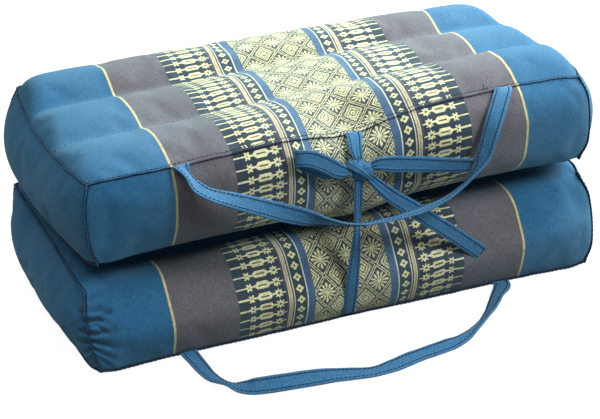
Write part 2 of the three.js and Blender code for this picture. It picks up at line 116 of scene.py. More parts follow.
# Thread: its radius, and each kind of stitch's length and the gap after it. A stitch rises and
# thins by these shares of its radius along its length.
THREAD_RADIUS = 0.34
SEAM_STITCH, CHANNEL_STITCH, LOOSE_STITCH = (3.4, 0), (2.4, 1.6), (2.2, 0)
STRIP_STITCH, END_STITCH = (2.6, 0.5), (2, 0.7)
STITCH_STEP, CHANNEL_STITCH_LIFT = 0.5, 0.2
STITCH_RISE, STITCH_SIZE, STITCH_DIP, STITCH_SIDES = (0.1, 0.35, 0.1), (0.55, 1, 1, 1, 0.55), 1.1, 6

# Across a strip: the stations of its section, how thick it is from its middle to its folded edge,
# where its stitches run, and how it sways, bows and gathers. A bow is level at the square root
# of BOW_LEVEL on the way from the middle to the edge.
STRIP_STEP, STRIP_SPANS, KNOT_SPANS = 1.5, 12, 10
STRIP_STATIONS = (0, 0.16, 0.33, 0.5, 0.66, 0.8, 0.93, 1)
HEM_STATIONS, HEM_THICKNESS = (0, 0.5, 0.66, 0.8, 0.93, 1), (0.76, 0.76, 0.84, 1, 0.9, 0.45)
STITCH_SHARE = 0.65
END_STITCH_BACK, END_STITCH_POINTS = 2, 9
STRIP_SWAY, STRIP_FINE_SWAY, STRIP_BOW = (0.12, 5.3), (0.072, 2.7), (0.22, 11)
STRIP_PHASE, STRIP_FINE_PHASE, BOW_LEVEL = 1.3, 2.1, 0.4
GATHER_DEPTH, GATHER_FOLDS = 1.5, 3

# The knot's bands: how square their oval is, each set of folds' depth, count and twist, and the
# half width and step of their flat cloth.
KNOT_SIDES, KNOT_SQUARE, KNOT_FOLDS = 48, (0.75, 0.85), ((0.13, 7, 0.05), (0.06, 12, -0.09))
KNOT_FLAT_HALF, KNOT_FLAT_STEP = 3, 0.6

# The flat cloth of a strip runs from -6 to 6, and its underside is taken from further along it.
STRIP_FLAT_HALF, UNDERSIDE_SHIFT = 6, 200

# Plain faces take their cloth from this far along the panel, beyond its figures and stripes.
PLAIN_OFFSET = 400
FIGURED, STRIPED = 0, 1

# ---- the two blocks: the same corners, seams and crowns as the CAD solids ----
# Corners and seams come in the order of SIGNS, with the first sign changing fastest. A corner lies
# this far out past the half length and the half width, at this height. A bow is how far the middle
# of a seam stands off the straight line between its corners, for the seams along X, Y and Z.
SIGNS = ((-1, -1), (1, -1), (-1, 1), (1, 1))
CORNER_SIGNS = [(x, y, z) for z in (-1, 1) for x, y in SIGNS]
SEAMS = [(axis, first, second) for axis in (X, Y, Z) for first, second in SIGNS]
UPPER = {
    "corners": (
        (-1, 1, 83), (2, 2, 88), (6, 1, 80), (0, 1, 81),
        (1, 0, 149), (1, 0, 158), (2, 0, 152), (-4, 0, 147),
    ),
    "bows": (
        ((0, 12, -1), (0, 0, 1), (0, 0, 2), (0, 1, 1)),
        ((-5, 0, -1), (5, 0, 1), (-6, 0, -4), (5, 0, 1)),
        ((-3, -1, 0), (4, -2, 0), (-4, 2, 0), (5, 2, 0)),
    ),
    "square_bows": {(X, -1, -1): 8},
    "skews": {(X, -1, 1): (0, 0, 2.5)},
    "channels": ((5, 12), (5, 7), (13, 12)),
    "outer_level": 1,
    "outer_arch": (7, 4),
    "inner_crown": 8,
    "front_crown": (8, 21),
    "front_round": (4, 4),
    "front_long": LONG_SIDE,
    "back_crown": (13, 13),
    "left_crown": (10, 12),
    "left_lean": 0.4,
    "right_crown": (19, 17),
    "right_lean": 0,
    "tie_drop": 10,
    "tie_dent": 5,
    "mouth_drop": 0,
    "lowest": MEETING_HEIGHT + MEETING_GAP / 2,
    "highest": math.inf,
    "yellow_line": 132.6,
    "spire_shift": 0.5,
    "pattern_centre": 3.3,
    "pattern_drift": 3.3,
    "front_rows": (9.3, 26.2),
    "outer_rows": (4.6, 20.9),
}

LOWER = {
    "corners": (
        (6, 9, 3.5), (6, 9, 2.5), (4, -1, 5), (0, -1, 5),
        (7, -12, 62), (10, -12, 72), (13, -2, 74), (2, -2, 74),
    ),
    "bows": (
        ((0, 6, 0), (0, 0, 0), (0, 30, 4), (0, 0, 1)),
        ((-4, 0, 0), (6, 0, 0), (2, 0, -2), (3, 0, 0)),
        ((-1, -1, 0), (4, -2, 0), (-1, 2, 0), (4, 2, 0)),
    ),
    "square_bows": {(X, -1, -1): 8, (X, -1, 1): 12},
    "skews": {},
    "channels": ((6, 6), (6, 6), (6, 6)),
    "outer_level": -1,
    "outer_arch": (2, 2),
    "inner_crown": 14,
    "front_crown": (26, 29),
    "front_round": (1.6, 9),
    "front_long": 12,
    "back_crown": (12, 12),
    "left_crown": (15, 15),
    "left_lean": 0.15,
    "right_crown": (12, 13),
    "right_lean": 0,
    "tie_drop": 2,
    "tie_dent": 4,
    "mouth_drop": 11,
    "lowest": 0,
    "highest": MEETING_HEIGHT - MEETING_GAP / 2,
    "yellow_line": 137.4,
    "spire_shift": -0.19,
    "pattern_centre": -0.5,
    "pattern_drift": 0,
    "front_rows": (19, 25.2),
    "outer_rows": (4.6, 24.6),
}

# ---- the straps and ribbons: the same rows as the CAD solids ----
# Each row is a place along the strip: its middle, the way its face looks, and its width there,
# where that isn't the strip's whole width.
UPPER_HANDLE = (
    ((-123.4, -95, 149.7), (0, -0.4, 0.92)), ((-123, -98.6, 148.2), (0.49, -0.33, 0.81)),
    ((-120.5, -104.5, 144), (0.67, -0.23, 0.7)), ((-117, -110.5, 138.5), (0.38, -0.42, 0.83)),
    ((-111, -115.5, 134.4), (0.29, -0.35, 0.89)), ((-102, -119, 130.8), (0.17, -0.52, 0.84)),
    ((-90.5, -121.5, 126.4), (0.16, -0.68, 0.72)), ((-77, -124, 120.8), (0.1, -0.8, 0.59)),
    ((-63.5, -126, 115), (0.02, -0.93, 0.37)), ((-48.5, -128, 109), (-0.12, -0.99, 0)),
    ((-34, -129.5, 103), (-0.29, -0.73, -0.62)), ((-18.5, -130, 97.4), (-0.25, -0.5, -0.83)),
    ((-4, -130, 94.2), (-0.12, -0.39, -0.91)), ((9.5, -130, 93.6), (-0.02, -0.36, -0.93)),
    ((24, -129.5, 93.4), (0.04, -0.28, -0.96)), ((40, -128.5, 94.4), (0.13, -0.22, -0.97)),
    ((58, -127, 97.4), (0.26, -0.31, -0.91)), ((72, -125.5, 102.4), (0.42, -0.45, -0.79)),
    ((82.4, -124.9, 109.2), (0.56, -0.47, -0.68)), ((90, -123.9, 116.2), (0.77, -0.21, -0.6)),
    ((95, -122.4, 124.4), (0.82, 0.33, -0.47)), ((99, -121, 133.8), (0.78, 0.45, -0.4)),
    ((103.2, -118.6, 142.9), (0.62, 0.55, -0.5)), ((108.6, -114, 150.4), (0.45, 0.5, -0.72)),
    ((114.8, -107.4, 156.4), (0.31, 0.34, -0.89)), ((120.2, -101, 160.2), (0.14, 0.2, -0.97)),
    ((122.4, -97.6, 161), (0.03, 0.15, -0.98)), ((122.9, -94.8, 161.2), (0, 0.1, -0.99)),
)

LOWER_HANDLE = (
    ((-127.5, -97.5, 4.2), (0, -0.1, 0.99)), ((-127, -103, 3.6), (0.07, -0.05, 1)),
    ((-126, -116, 3.6), (0.2, 0, 0.97)), ((-125, -130, 3.8), (0.24, 0.02, 0.97)),
    ((-122, -141, 3.4), (0.3, 0.1, 0.95)), ((-116.5, -150, 3.8), (0.37, 0.3, 0.88)),
    ((-109, -157.5, 3.4), (-0.12, -0.1, 0.98)), ((-99.5, -163.5, 5), (-0.25, -0.48, 0.82)),
    ((-84, -167, 5.6), (-0.08, -0.6, 0.8)), ((-67.5, -169, 5.4), (-0.01, -0.56, 0.83)),
    ((-50, -170.5, 4.4), (0.02, -0.38, 0.92)), ((-33.5, -173, 3), (0.02, -0.17, 0.99)),
    ((-17, -175.5, 2), (0.01, 0, 1)), ((-1, -174.5, 2.6), (-0.01, -0.13, 0.99)),
    ((15, -171, 3), (0.03, -0.15, 0.99)), ((32, -168, 2.8), (0.02, -0.13, 0.99)),
    ((47, -165.5, 3), (0, -0.12, 0.99)), ((58.5, -162.5, 3.4), (-0.15, 0.1, 0.98)),
    ((69, -157.5, 5), (-0.33, 0.4, 0.84)), ((81, -149.5, 6), (-0.43, 0.51, 0.74)),
    ((93.5, -138, 5.8), (-0.46, 0.45, 0.77)), ((107, -121, 5), (-0.35, 0.32, 0.88)),
    ((117.4, -108.6, 3.8), (-0.13, 0.08, 0.98)), ((121, -102.8, 3.6), (-0.04, 0, 0.99)),
    ((121.5, -98.2, 3.6), (0, -0.1, 0.99)),
)

UPPER_RIBBON = (
    ((7.2, -89.6, 146.4), (0, -0.3, 0.95)), ((6.8, -93, 145.4), (0, -0.5, 0.85), 11.6),
    ((5, -99, 141.4), (0, -0.75, 0.65), 10.5), ((3.8, -104, 136.6), (0, -0.85, 0.5), 8.5),
    ((3.6, -107.2, 133.4), (0, -0.85, 0.5), 6.5),
)

LOWER_RIBBON = (
    ((-1.8, -94.8, 4.2), (0, -0.8, -0.6), 10.5), ((-2.2, -97.4, 9), (0, -0.9, -0.45), 10.5),
    ((-2.2, -100.4, 18), (0, -0.97, -0.2), 10.5), ((-1.6, -102.8, 31), (0, -1, 0), 10.5),
    ((0, -104.2, 50), (0.2, -1, 0), 10), ((1.8, -105, 70), (0.5, -0.85, 0), 9),
    ((2.4, -106, 84), (0.6, -0.8, 0), 8), ((2.2, -108, 98), (0.3, -0.95, 0), 7.5),
    ((2.2, -108.8, 109), (0.1, -1, 0), 7), ((2.8, -109, 117.6), (0, -1, 0), 6.5),
)

BOW_LOOP = (
    ((-4.4, -110, 126.2), (0, -0.95, 0.3), 6), ((-9, -111.2, 128), (0, -0.95, 0.3), 9),
    ((-14.6, -112, 131), (0, -0.95, 0.3)), ((-24, -112.8, 138), (0, -0.95, 0.3)),
    ((-33.5, -113, 143.6), (0, -0.95, 0.25)), ((-39.4, -112.8, 145.2), (0, -0.97, 0.2)),
    ((-42.8, -112, 145.4), (-0.6, -0.8, 0.1)), ((-44, -110.2, 145), (-1, 0, 0)),
    ((-42.8, -108.6, 144), (-0.6, 0.8, -0.1)), ((-38, -107.2, 139.6), (0, 0.97, -0.2)),
    ((-29, -106.6, 133.6), (0, 0.95, -0.25)), ((-20, -106.6, 129), (0, 0.95, -0.3), 11),
    ((-12, -106.6, 126), (0, 0.95, -0.3), 8.5), ((-4.6, -106.6, 125.8), (0, 0.95, -0.2), 6),
)

RIGHT_TAIL = (
    ((12.3, -109.9, 127.8), (0, -0.95, 0.2), 5.4), ((17, -111.6, 128.8), (0, -0.95, 0.25), 9.6),
    ((29, -112.8, 127), (0, -0.98, 0.15)), ((50, -113.4, 122.6), (0, -1, 0.05)),
    ((72, -113.4, 117.6), (0, -0.98, -0.15)), ((90.6, -113.2, 113.6), (0, -0.95, -0.3)),
)

DIAGONAL_TAIL = (
    ((9.8, -109.9, 120.2), (0, -0.95, 0.2), 5.6), ((15.5, -112.2, 113.8), (0, -0.95, 0.3), 8.4),
    ((27, -113.8, 102), (0, -0.97, 0.2), 11), ((41, -113.4, 90.4), (0, -0.97, 0.2)),
    ((56, -110.8, 77), (0.05, -0.98, 0.15)), ((76, -107.4, 59.4), (0.05, -0.98, 0.15)),
    ((92, -105.2, 45), (0.05, -0.98, 0.1)), ((103.4, -104.2, 34.6), (0.05, -1, 0.05)),
)

# The knot's bands of gathered ribbon: each row is a middle, a facing, a width and a thickness.
KNOT_HEART = (
    ((3.6, -106.4, 132), (0, -1, 0), 7, 3), ((3.8, -108.6, 129), (0, -1, 0.2), 9.5, 5),
    ((4, -109.4, 125), (0, -1, 0), 11.5, 5.6), ((3.8, -108.8, 121), (0, -1, -0.2), 9.5, 5),
    ((3.4, -107, 118.2), (0, -1, -0.3), 7, 3),
)
KNOT_TURN = (
    ((-4.4, -107.6, 132.6), (-0.3, -1, 0.4), 6, 2.4),
    ((-2.8, -110, 131.8), (-0.3, -1, 0.4), 6.6, 3),
    ((0.4, -112, 129.6), (-0.1, -1, 0.4), 6.2, 3.6), ((3.8, -112.8, 126.8), (0, -1, 0.3), 5.2, 3.8),
    ((7, -112.4, 124), (0.1, -1, 0.2), 5, 3.6), ((10, -111, 121.2), (0.3, -1, 0), 5.6, 3.2),
    ((12, -109, 119.2), (0.5, -1, -0.1), 5.2, 2.4),
)
KNOT_ROOT = (
    ((5.4, -108.4, 131), (0.1, -1, 0.5), 3.6, 2), ((7.6, -110.6, 128.6), (0.2, -1, 0.3), 4.6, 2.8),
    ((10, -111.8, 125.6), (0.3, -1, 0.2), 5.4, 3.2), ((11.2, -111.4, 122.4), (0.3, -1, 0), 5.6, 3),
    ((10.8, -109.6, 119.2), (0.2, -1, -0.3), 5, 2.2),
)
KNOT_TAIL = (
    ((5, -110.6, 127.4), (0, -1, 0.3), 4.4, 3.4), ((8.4, -111.8, 128), (0, -1, 0.3), 4.2, 3),
    ((11.9, -110.6, 127.8), (0, -1, 0.2), 5, 2),
)

# Two loose ends of thread stand up from the upper block's front seam.
LOOSE_SPANS, LOOSE_FACING = 4, (0.0, -1.0, 0.3)
LOOSE_THREADS = (
    ((111, -94, 159), (111.2, -93, 161), (112.4, -92, 163.4)),
    ((109, -94, 159), (109.4, -92.6, 161.4), (109.2, -91, 166)),
)

# The hinge lies in the hollow between the two blocks' backs: (y, z) down its section.
HINGE_SECTION = ((100, 87.5), (97.5, 83.5), (95.6, 79.5), (95.4, 75), (96, 70.5), (98, 66.5))

# ---- the woven pattern, in millimetres of the flat cloth ----
# A row of spires points away from the centre band. Outward along a spire lie a tip, a large
# flower, a lantern, a small flower and a tail. A flower has its petals, reach and swing.
SPIRE_START = 52.8
SPIRES_PER_ROW = 3
TIP_START, TIP_HALF = -0.4, 0.5
LARGE_AT, SMALL_AT = 4.7, 25.4
LARGE_FLOWER, SMALL_FLOWER = (8, 2.85, 0.75), (6, 2.5, 0.7)
LARGE_HEART, SMALL_HEART = (1.5, 1), (0.9, 0.8)
LANTERN_AT, LANTERN_HALF_LONG, LANTERN_HALF_HIGH, LANTERN_SLOPE = 15.2, 6.3, 2.7, 1.15
SLOT_HALF_LONG, SLOT_HALF_HIGH = 3.2, 0.55
WAIST_HALF = 0.75
TAIL_END, TAIL_HALF = 35.6, 0.62

# Between the spires and the centre band runs a line of small hollow diamonds.
DIAMONDS_AT, DIAMOND, DIAMOND_HEART = 41.6, (4, 2.55, 0.5), (1.1, 1.1)

# The centre band's lattice: flowers and nested diamonds, each in its own double-lined lozenge.
# Its lines lie at these shares of the way from a nested diamond's middle to a flower's.
LOZENGE_HALF_WIDTH = 10.6
ROW_PITCH = 25.2
THREAD_CELL = 0.5
FLOWER_PETALS, FLOWER_REACH, FLOWER_SWING, FLOWER_NOTCH = 12, 5.9, 0.7, 1.2
FLOWER_CORNERS = 4
PETAL_GAP_START, PETAL_GAP_DEPTH = 1.4, -0.3
DOUBLE_LINE = (0.05, 0.13)
TOOTH_PITCH, TOOTH_SLOPE, TOOTH_FOOT, TOOTH_START = 0.1, 1.6, 0.6, 0.54
NESTED_RINGS = ((0.32, 0.46), (0.06, 0.22))

# Gathered folds beside the lower block's front left corner seam: each row is a fold group's
# height, its half height, how far it reaches from the seam, and how close its folds are.
PUCKER_SEAM_X, PUCKER_SEAM_Y = -197, -98
PUCKERS = ((52, 13, 20, 1.7), (30, 15, 24, 1.35))
PUCKER_SPREAD, PUCKER_WAVER, PUCKER_NEAR = 11, 3, 1.5
# The folds' height in the bump, then the painted shade that darkens their valleys: how deep it is,
# and its mask's slope and start.
PUCKER_HEIGHT, PUCKER_PAINTED_SHADE, CREASE_SHADOW_SLOPE, CREASE_SHADOW_START = 4.5, 0.75, -1.8, -0.25

# The cloth's finish: thread pitches, uneven threads, the depth of the bump in metres, and gloss.
# A noise on the flat cloth has its cells for each millimetre both ways, and its detail.
PANEL_WEAVE, STRAP_WEAVE = 0.9, 0.8
SLUB_DEPTH = 0.95
SLUB_LAYERS = ((0.26, 1.1, 2), (1.1, 0.2, 2), (1.2, 1.2, 1))
PALE_NOISE, STREAK_NOISE = (0.7, 0.7, 2), (1.6, 0.05, 2)
CLOUD_NOISE, CLOUD_START, CLOUD_SHARE, WAVER_NOISE = (14, 3), 0.45, 0.35, (60, 1)
WEAVE_RISE, FIGURE_RISE, STRAP_WEAVE_RISE, PRESSED_DROP = 0.6, 0.8, 0.3, 1.5
# The thread's plies: how fast they twist, and how far their painted highlight moves the colour.
PLY_TURNS, PLY_SHARE = 9, 0.25
CLOTH_BUMP, THREAD_BUMP = 0.0003, 0.00008
CLOTH_ROUGHNESS, THREAD_ROUGHNESS, SPECULAR = 0.85, 0.8, 0.22
PANEL_SHEEN, STRAP_SHEEN, SHEEN_ROUGHNESS = 0.24, 0.15, 0.6
PANEL_SHEEN_TINT, STRAP_SHEEN_TINT = (0.5, 0.93, 1), (0.6, 0.9, 1)
# Under each row of a strap's stitches runs a groove: its line and half width, and the share of
# painted shade that darkens it.
PRESSED_LINE, PRESSED_HALF_WIDTH, STITCH_GROOVE_SHADOW_SHARE = STRIP_FLAT_HALF * STITCH_SHARE, 0.6, 0.6

# ---- the room, in metres apart from the camera's place ----
CAMERA_PLACE = (-476.1, -1245.1, 708.4)
CAMERA_YAW, CAMERA_PITCH, CAMERA_ROLL = 20.9, 26.4, -2.14
CAMERA_LENS, CAMERA_SENSOR, CAMERA_NEAR, CAMERA_FAR = 116, 36, 0.01, 50
FLOOR_REACH, FLOOR_SHADE, FLOOR_GLOW, FLOOR_ROUGHNESS, WORLD_LIGHT = 6, 0.14, 0.94, 0.9, 0.09
LAMP_TARGET = Vector((0, 0, 0.08))
LAMPS = {
    "key": ((0.65, 0.35, 0.75), 0.7, 22.5),
    "front_fill": ((0.7, -1.1, 1.3), 0.6, 23),
    "left_fill": ((-0.7, -0.3, 1.6), 0.8, 10),
}


def srgb(red, green, blue):
    """A colour written as screen values from 0 to 255, as the linear values that a shader takes."""
    scaled = [c / 255 for c in (red, green, blue)]
    return tuple(c / 12.92 if c < 0.04045 else ((c + 0.055) / 1.055) ** 2.4 for c in scaled)


def stripes(yellow_at):
    """The cloth's stripes, from the middle of the centre band outward: where each one ends, in
    millimetres, and its colour. The yellow line's place is its block's own."""
    return (
        (30.4, srgb(62, 70, 72)),
        (35.9, srgb(70, 100, 132)),
        (36.9, srgb(206, 216, 208)),
        (46.1, srgb(48, 62, 74)),
        (47.0, srgb(206, 208, 186)),
        (48.0, srgb(62, 60, 62)),
        (48.6, srgb(216, 212, 184)),
        (50.4, srgb(188, 178, 144)),
        (50.9, srgb(216, 212, 184)),
        (52.6, srgb(78, 70, 84)),
        (88.6, srgb(44, 55, 68)),
        (yellow_at - 1.3, srgb(97, 92, 98)),
        (yellow_at - 0.8, srgb(112, 104, 84)),
        (yellow_at + 0.8, srgb(200, 197, 150)),
        (yellow_at + 1.3, srgb(104, 112, 96)),
        (220, srgb(35, 96, 137)),
    )


PALE_THREAD = (srgb(214, 214, 156), srgb(246, 246, 204))
HEART_THREAD = srgb(96, 84, 56)
FADED = srgb(150, 180, 196)
# The painted shade in the groove under a strap's stitches.
STITCH_GROOVE_SHADOW = srgb(22, 50, 86)
STRAP_SHADES = (srgb(64, 123, 163), srgb(40, 91, 132))
# Painted shadow for the sides of the seams' fins.
SEAM_SHADOW_SHADES = (srgb(34, 52, 72), srgb(22, 34, 50))
THREAD_SHADE = srgb(22, 34, 52)
# How much lighter the plies' crests are: a painted highlight.
PLY_HIGHLIGHT = 1.3


# ---- materials ----
class Value:
    """A number that a material works out at each point, so that a figure is written as a sum.
    A comparison gives 1 where it holds and 0 elsewhere."""

    def __init__(self, graph, socket):
        self.graph = graph
        self.socket = socket

    def __abs__(self):
        return self.graph.math("ABSOLUTE", self)


def operator(operation, swapped=False):
    def apply(self, other):
        return self.graph.math(operation, *((other, self) if swapped else (self, other)))
    return apply


Value.__add__ = Value.__radd__ = operator("ADD")
Value.__sub__, Value.__rsub__ = operator("SUBTRACT"), operator("SUBTRACT", swapped=True)
Value.__mul__, Value.__truediv__ = operator("MULTIPLY"), operator("DIVIDE")
Value.__lt__, Value.__gt__ = operator("LESS_THAN"), operator("GREATER_THAN")


class Graph:
    """The nodes of one material or world, wired by short calls."""

    def __init__(self, owner):
        owner.use_nodes = True
        self.owner = owner
        self.tree = owner.node_tree
        self.shader = self.tree.nodes.get("Principled BSDF")

    def node(self, kind, **settings):
        made = self.tree.nodes.new(kind)
        for name, value in settings.items():
            setattr(made, name, value)
        return made

    def feed(self, socket, value):
        if isinstance(value, Value):
            value = value.socket
        if isinstance(value, bpy.types.NodeSocket):
            self.tree.links.new(value, socket)
        elif isinstance(value, tuple) and len(value) == 3 and socket.type == "RGBA":
            socket.default_value = (*value, 1)
        else:
            socket.default_value = value

    def feed_all(self, node, values):
        for name, value in values.items():
            self.feed(node.inputs[name], value)

    def math(self, operation, *values, clamp=False):
        made = self.node("ShaderNodeMath", operation=operation, use_clamp=clamp)
        for socket, value in zip(made.inputs, values):
            self.feed(socket, value)
        return Value(self, made.outputs[0])

    def mix(self, share, first, second, blend="MIX"):
        made = self.node("ShaderNodeMix", data_type="RGBA", blend_type=blend)
        for socket, value in ((0, share), (6, first), (7, second)):
            self.feed(made.inputs[socket], value)
        return Value(self, made.outputs[2])

    def shaded(self, colour, amount):
        """The colour made lighter or darker by an amount that is about 1."""
        return self.mix(1.0, colour, amount, "MULTIPLY")

    def split(self, vector):
        parts = self.node("ShaderNodeSeparateXYZ")
        self.feed(parts.inputs[0], vector)
        return [Value(self, socket) for socket in parts.outputs]

    def flat_place(self):
        """The place on the flat cloth, in millimetres, from its UV map."""
        return self.split(self.node("ShaderNodeUVMap", uv_map="flat").outputs[0])[:2]

    def object_place(self):
        return self.node("ShaderNodeTexCoord").outputs["Object"]

    def noise(self, vector, scale, detail):
        """A noise from 0 to 1, with its scale in cells for each unit of the vector."""
        made = self.node("ShaderNodeTexNoise")
        self.feed_all(made, {"Vector": vector, "Scale": scale, "Detail": detail})
        return Value(self, made.outputs[0])

    def flat_noise(self, u, v, scale_u, scale_v, detail):
        """A noise from 0 to 1 on the flat cloth, with its scales in cells for each millimetre."""
        joined = self.node("ShaderNodeCombineXYZ")
        self.feed_all(joined, {"X": u * scale_u, "Y": v * scale_v})
        return self.noise(joined.outputs[0], 1, detail)

    def inside(self, value, low, high):
        """1 where the value lies between the two bounds, and 0 elsewhere."""
        return (value > low) * (value < high)

    def either(self, *values):
        """The greatest of several values."""
        total = values[0]
        for value in values[1:]:
            total = self.math("MAXIMUM", total, value)
        return total

    def clamped(self, value):
        return self.math("ADD", value, 0, clamp=True)

    def to_cell(self, value):
        """The value on the grid of the figures' threads, which gives them stepped edges."""
        return self.math("SNAP", value, THREAD_CELL)

    def mirrored(self, value, reach):
        """The value run back and forth between 0 and the reach."""
        return self.math("PINGPONG", value, reach)

    def cosine(self, value):
        return self.math("COSINE", value)

    def sine(self, value):
        return self.math("SINE", value)

    def polar(self, across, along):
        """The distance from the middle, and the angle round it."""
        radius = self.math("SQRT", self.math("POWER", across, 2) + self.math("POWER", along, 2))
        return radius, self.math("ARCTAN2", along, across)

    def flower(self, across, along, petals, reach, swing):
        """1 on a flower round the middle, with petals that swing in and out of its reach."""
        radius, angle = self.polar(across, along)
        return radius < self.cosine(angle * petals) * swing + reach

    def diamond(self, across, along, half_across, half_along):
        """1 inside a diamond round the middle. Both places are given without their signs."""
        return across / half_across + along / half_along < 1

    def weave(self, u, v, pitch):
        """The height of a plain weave from 0 to 1."""
        turns = 2 * math.pi / pitch
        return self.sine(u * turns) * self.sine(v * turns) * 0.5 + 0.5

    def slubs(self, u, v):
        """How much lighter or darker the uneven threads of both directions make the cloth."""
        layers = [self.flat_noise(u, v, *layer) for layer in SLUB_LAYERS]
        return sum(layers) * SLUB_DEPTH + (1 - len(layers) / 2 * SLUB_DEPTH)

    def seen(self):
        """1 for a ray that sees the backdrop itself or its reflection, and 0 for other rays."""
        rays = self.node("ShaderNodeLightPath").outputs
        kinds = ("Is Camera Ray", "Is Glossy Ray", "Is Transmission Ray")
        return self.either(*(rays[kind] for kind in kinds))

    def finish(self, colour, height, depth, roughness, sheen, sheen_tint=(1, 1, 1)):
        """Wires the colour and a bump of that depth in metres, and sets the rest."""
        bump = self.node("ShaderNodeBump")
        self.feed_all(bump, {"Strength": 1, "Distance": depth, "Height": height})
        self.feed_all(self.shader, {
            "Base Color": colour,
            "Roughness": roughness,
            "Sheen Weight": sheen,
            "Sheen Roughness": SHEEN_ROUGHNESS,
            "Sheen Tint": sheen_tint,
            "Specular IOR Level": SPECULAR,
            "Normal": bump.outputs[0],
        })
        return self.owner


def lattice_figure(graph, u, v):
    """1 on the pale threads of the centre band, and 0 on its ground."""
    across = graph.mirrored(graph.to_cell(u), LOZENGE_HALF_WIDTH)
    along = graph.mirrored(graph.to_cell(v), ROW_PITCH / 2)
    radius, angle = graph.polar(across, along)
    petal = graph.cosine(angle * FLOWER_PETALS)
    corner = graph.cosine(angle * FLOWER_CORNERS)
    reach = corner * FLOWER_SWING + FLOWER_REACH + petal * FLOWER_NOTCH
    petal_gap = (petal < PETAL_GAP_DEPTH) * (radius > PETAL_GAP_START)
    flower = (radius < reach) * (1 - petal_gap)

    # 0 in the middle of a nested diamond, 1 on the lozenges' shared line, 2 in a flower's middle.
    first = across / LOZENGE_HALF_WIDTH
    second = along / (ROW_PITCH / 2)
    step = 2 - (first + second)
    double_line = graph.inside(abs(step - 1), *DOUBLE_LINE)
    tooth = graph.mirrored(first - second, TOOTH_PITCH) * TOOTH_SLOPE + TOOTH_FOOT
    teeth = (step < tooth) * (step > TOOTH_START)
    nested = [graph.inside(step, *ring) for ring in NESTED_RINGS]
    return graph.either(flower, double_line, teeth, *nested)


def spire_figure(graph, distance, beside):
    """1 on a spire's pale threads, and 1 on its brown hearts, at a distance from the pattern's
    middle line and beside the spire's own."""
    outward = graph.to_cell(distance) - SPIRE_START
    middles = (LARGE_AT, SMALL_AT, LANTERN_AT)
    large_off, small_off, lantern_off = (abs(outward - at) for at in middles)
    large = graph.flower(large_off, beside, *LARGE_FLOWER)
    small = graph.flower(small_off, beside, *SMALL_FLOWER)
    slope = (LANTERN_HALF_LONG - lantern_off) * LANTERN_SLOPE
    lantern = (beside < slope) * (beside < LANTERN_HALF_HIGH)
    waist = (beside < WAIST_HALF) * graph.inside(outward, LARGE_AT, SMALL_AT)
    tail = (beside < TAIL_HALF) * graph.inside(outward, SMALL_AT, TAIL_END)
    tip = (beside < TIP_HALF) * graph.inside(outward, TIP_START, LARGE_AT)
    slot = (beside < SLOT_HALF_HIGH) * (lantern_off < SLOT_HALF_LONG)
    large_heart = graph.diamond(large_off, beside, *LARGE_HEART)
    small_heart = graph.diamond(small_off, beside, *SMALL_HEART)
    pale = graph.either(large, small, lantern, waist, tail, tip)
    return pale, graph.either(slot, large_heart, small_heart)


def diamond_figure(graph, distance, beside):
    """1 on the small diamonds' pale threads, and 1 on their hearts."""
    aside = abs(distance - DIAMONDS_AT)
    return graph.flower(aside, beside, *DIAMOND), graph.diamond(aside, beside, *DIAMOND_HEART)


def puckers(graph):
    """Gathered folds that cross the lower block's front left corner seam and fade out beside it."""
    x, y, z = (place * (1 / MM) for place in graph.split(graph.object_place()))
    off_seam = graph.either(x - PUCKER_SEAM_X, y - PUCKER_SEAM_Y, 0)
    waver = graph.noise(graph.object_place(), *WAVER_NOISE) * PUCKER_WAVER
    groups = []
    for height, half_height, reach, turns in PUCKERS:
        fan = (z - height) / (off_seam / PUCKER_SPREAD + 1)
        wave = graph.sine(fan * turns + waver)
        near = graph.clamped(PUCKER_NEAR - off_seam * (PUCKER_NEAR / reach))
        tall = graph.clamped(1 - abs(fan) / half_height)
        groups.append(wave * near * tall)
    return sum(groups)


def panel_material(name, block, figured, puckered=False):
    """The striped cloth, with its woven figures where it is figured, and painted shade in its folds
    where it is puckered.
    """
    graph = Graph(bpy.data.materials.new(name))
    u, v = graph.flat_place()
    distance = abs(u)
    rows = stripes(block["yellow_line"])
    colour = rows[0][1]
    for (edge, _), (_, shade) in zip(rows, rows[1:]):
        colour = graph.mix(distance > edge, colour, shade)
    height = graph.weave(u, v, PANEL_WEAVE) * WEAVE_RISE
    if figured:
        lattice = lattice_figure(graph, u, v) * (distance < rows[0][0])
        spire_pitch = ROW_PITCH / SPIRES_PER_ROW
        shifted = graph.to_cell(v) + block["spire_shift"] * spire_pitch
        beside = graph.mirrored(shifted, spire_pitch / 2)
        spires, spire_hearts = spire_figure(graph, distance, beside)
        diamonds, diamond_hearts = diamond_figure(graph, distance, beside)
        figure = graph.either(lattice, spires, diamonds)
        hearts = graph.either(spire_hearts, diamond_hearts)
        pale = graph.mix(graph.flat_noise(u, v, *PALE_NOISE), *PALE_THREAD)
        colour = graph.mix(figure, colour, graph.mix(hearts, pale, HEART_THREAD))
        height = height + figure * (1 - hearts) * FIGURE_RISE
    cloudy = graph.noise(graph.object_place(), *CLOUD_NOISE)
    colour = graph.mix(graph.clamped((cloudy - CLOUD_START) * CLOUD_SHARE), colour, FADED)
    colour = graph.shaded(colour, graph.slubs(u, v))
    if puckered:
        folds = puckers(graph)
        height = height + folds * PUCKER_HEIGHT
        # The fold valleys are darkened: painted shade.
        crease_shadow = graph.clamped(folds * CREASE_SHADOW_SLOPE + CREASE_SHADOW_START)
        colour = graph.shaded(colour, 1 - crease_shadow * PUCKER_PAINTED_SHADE)
    return graph.finish(colour, height, CLOTH_BUMP, CLOTH_ROUGHNESS, PANEL_SHEEN, PANEL_SHEEN_TINT)


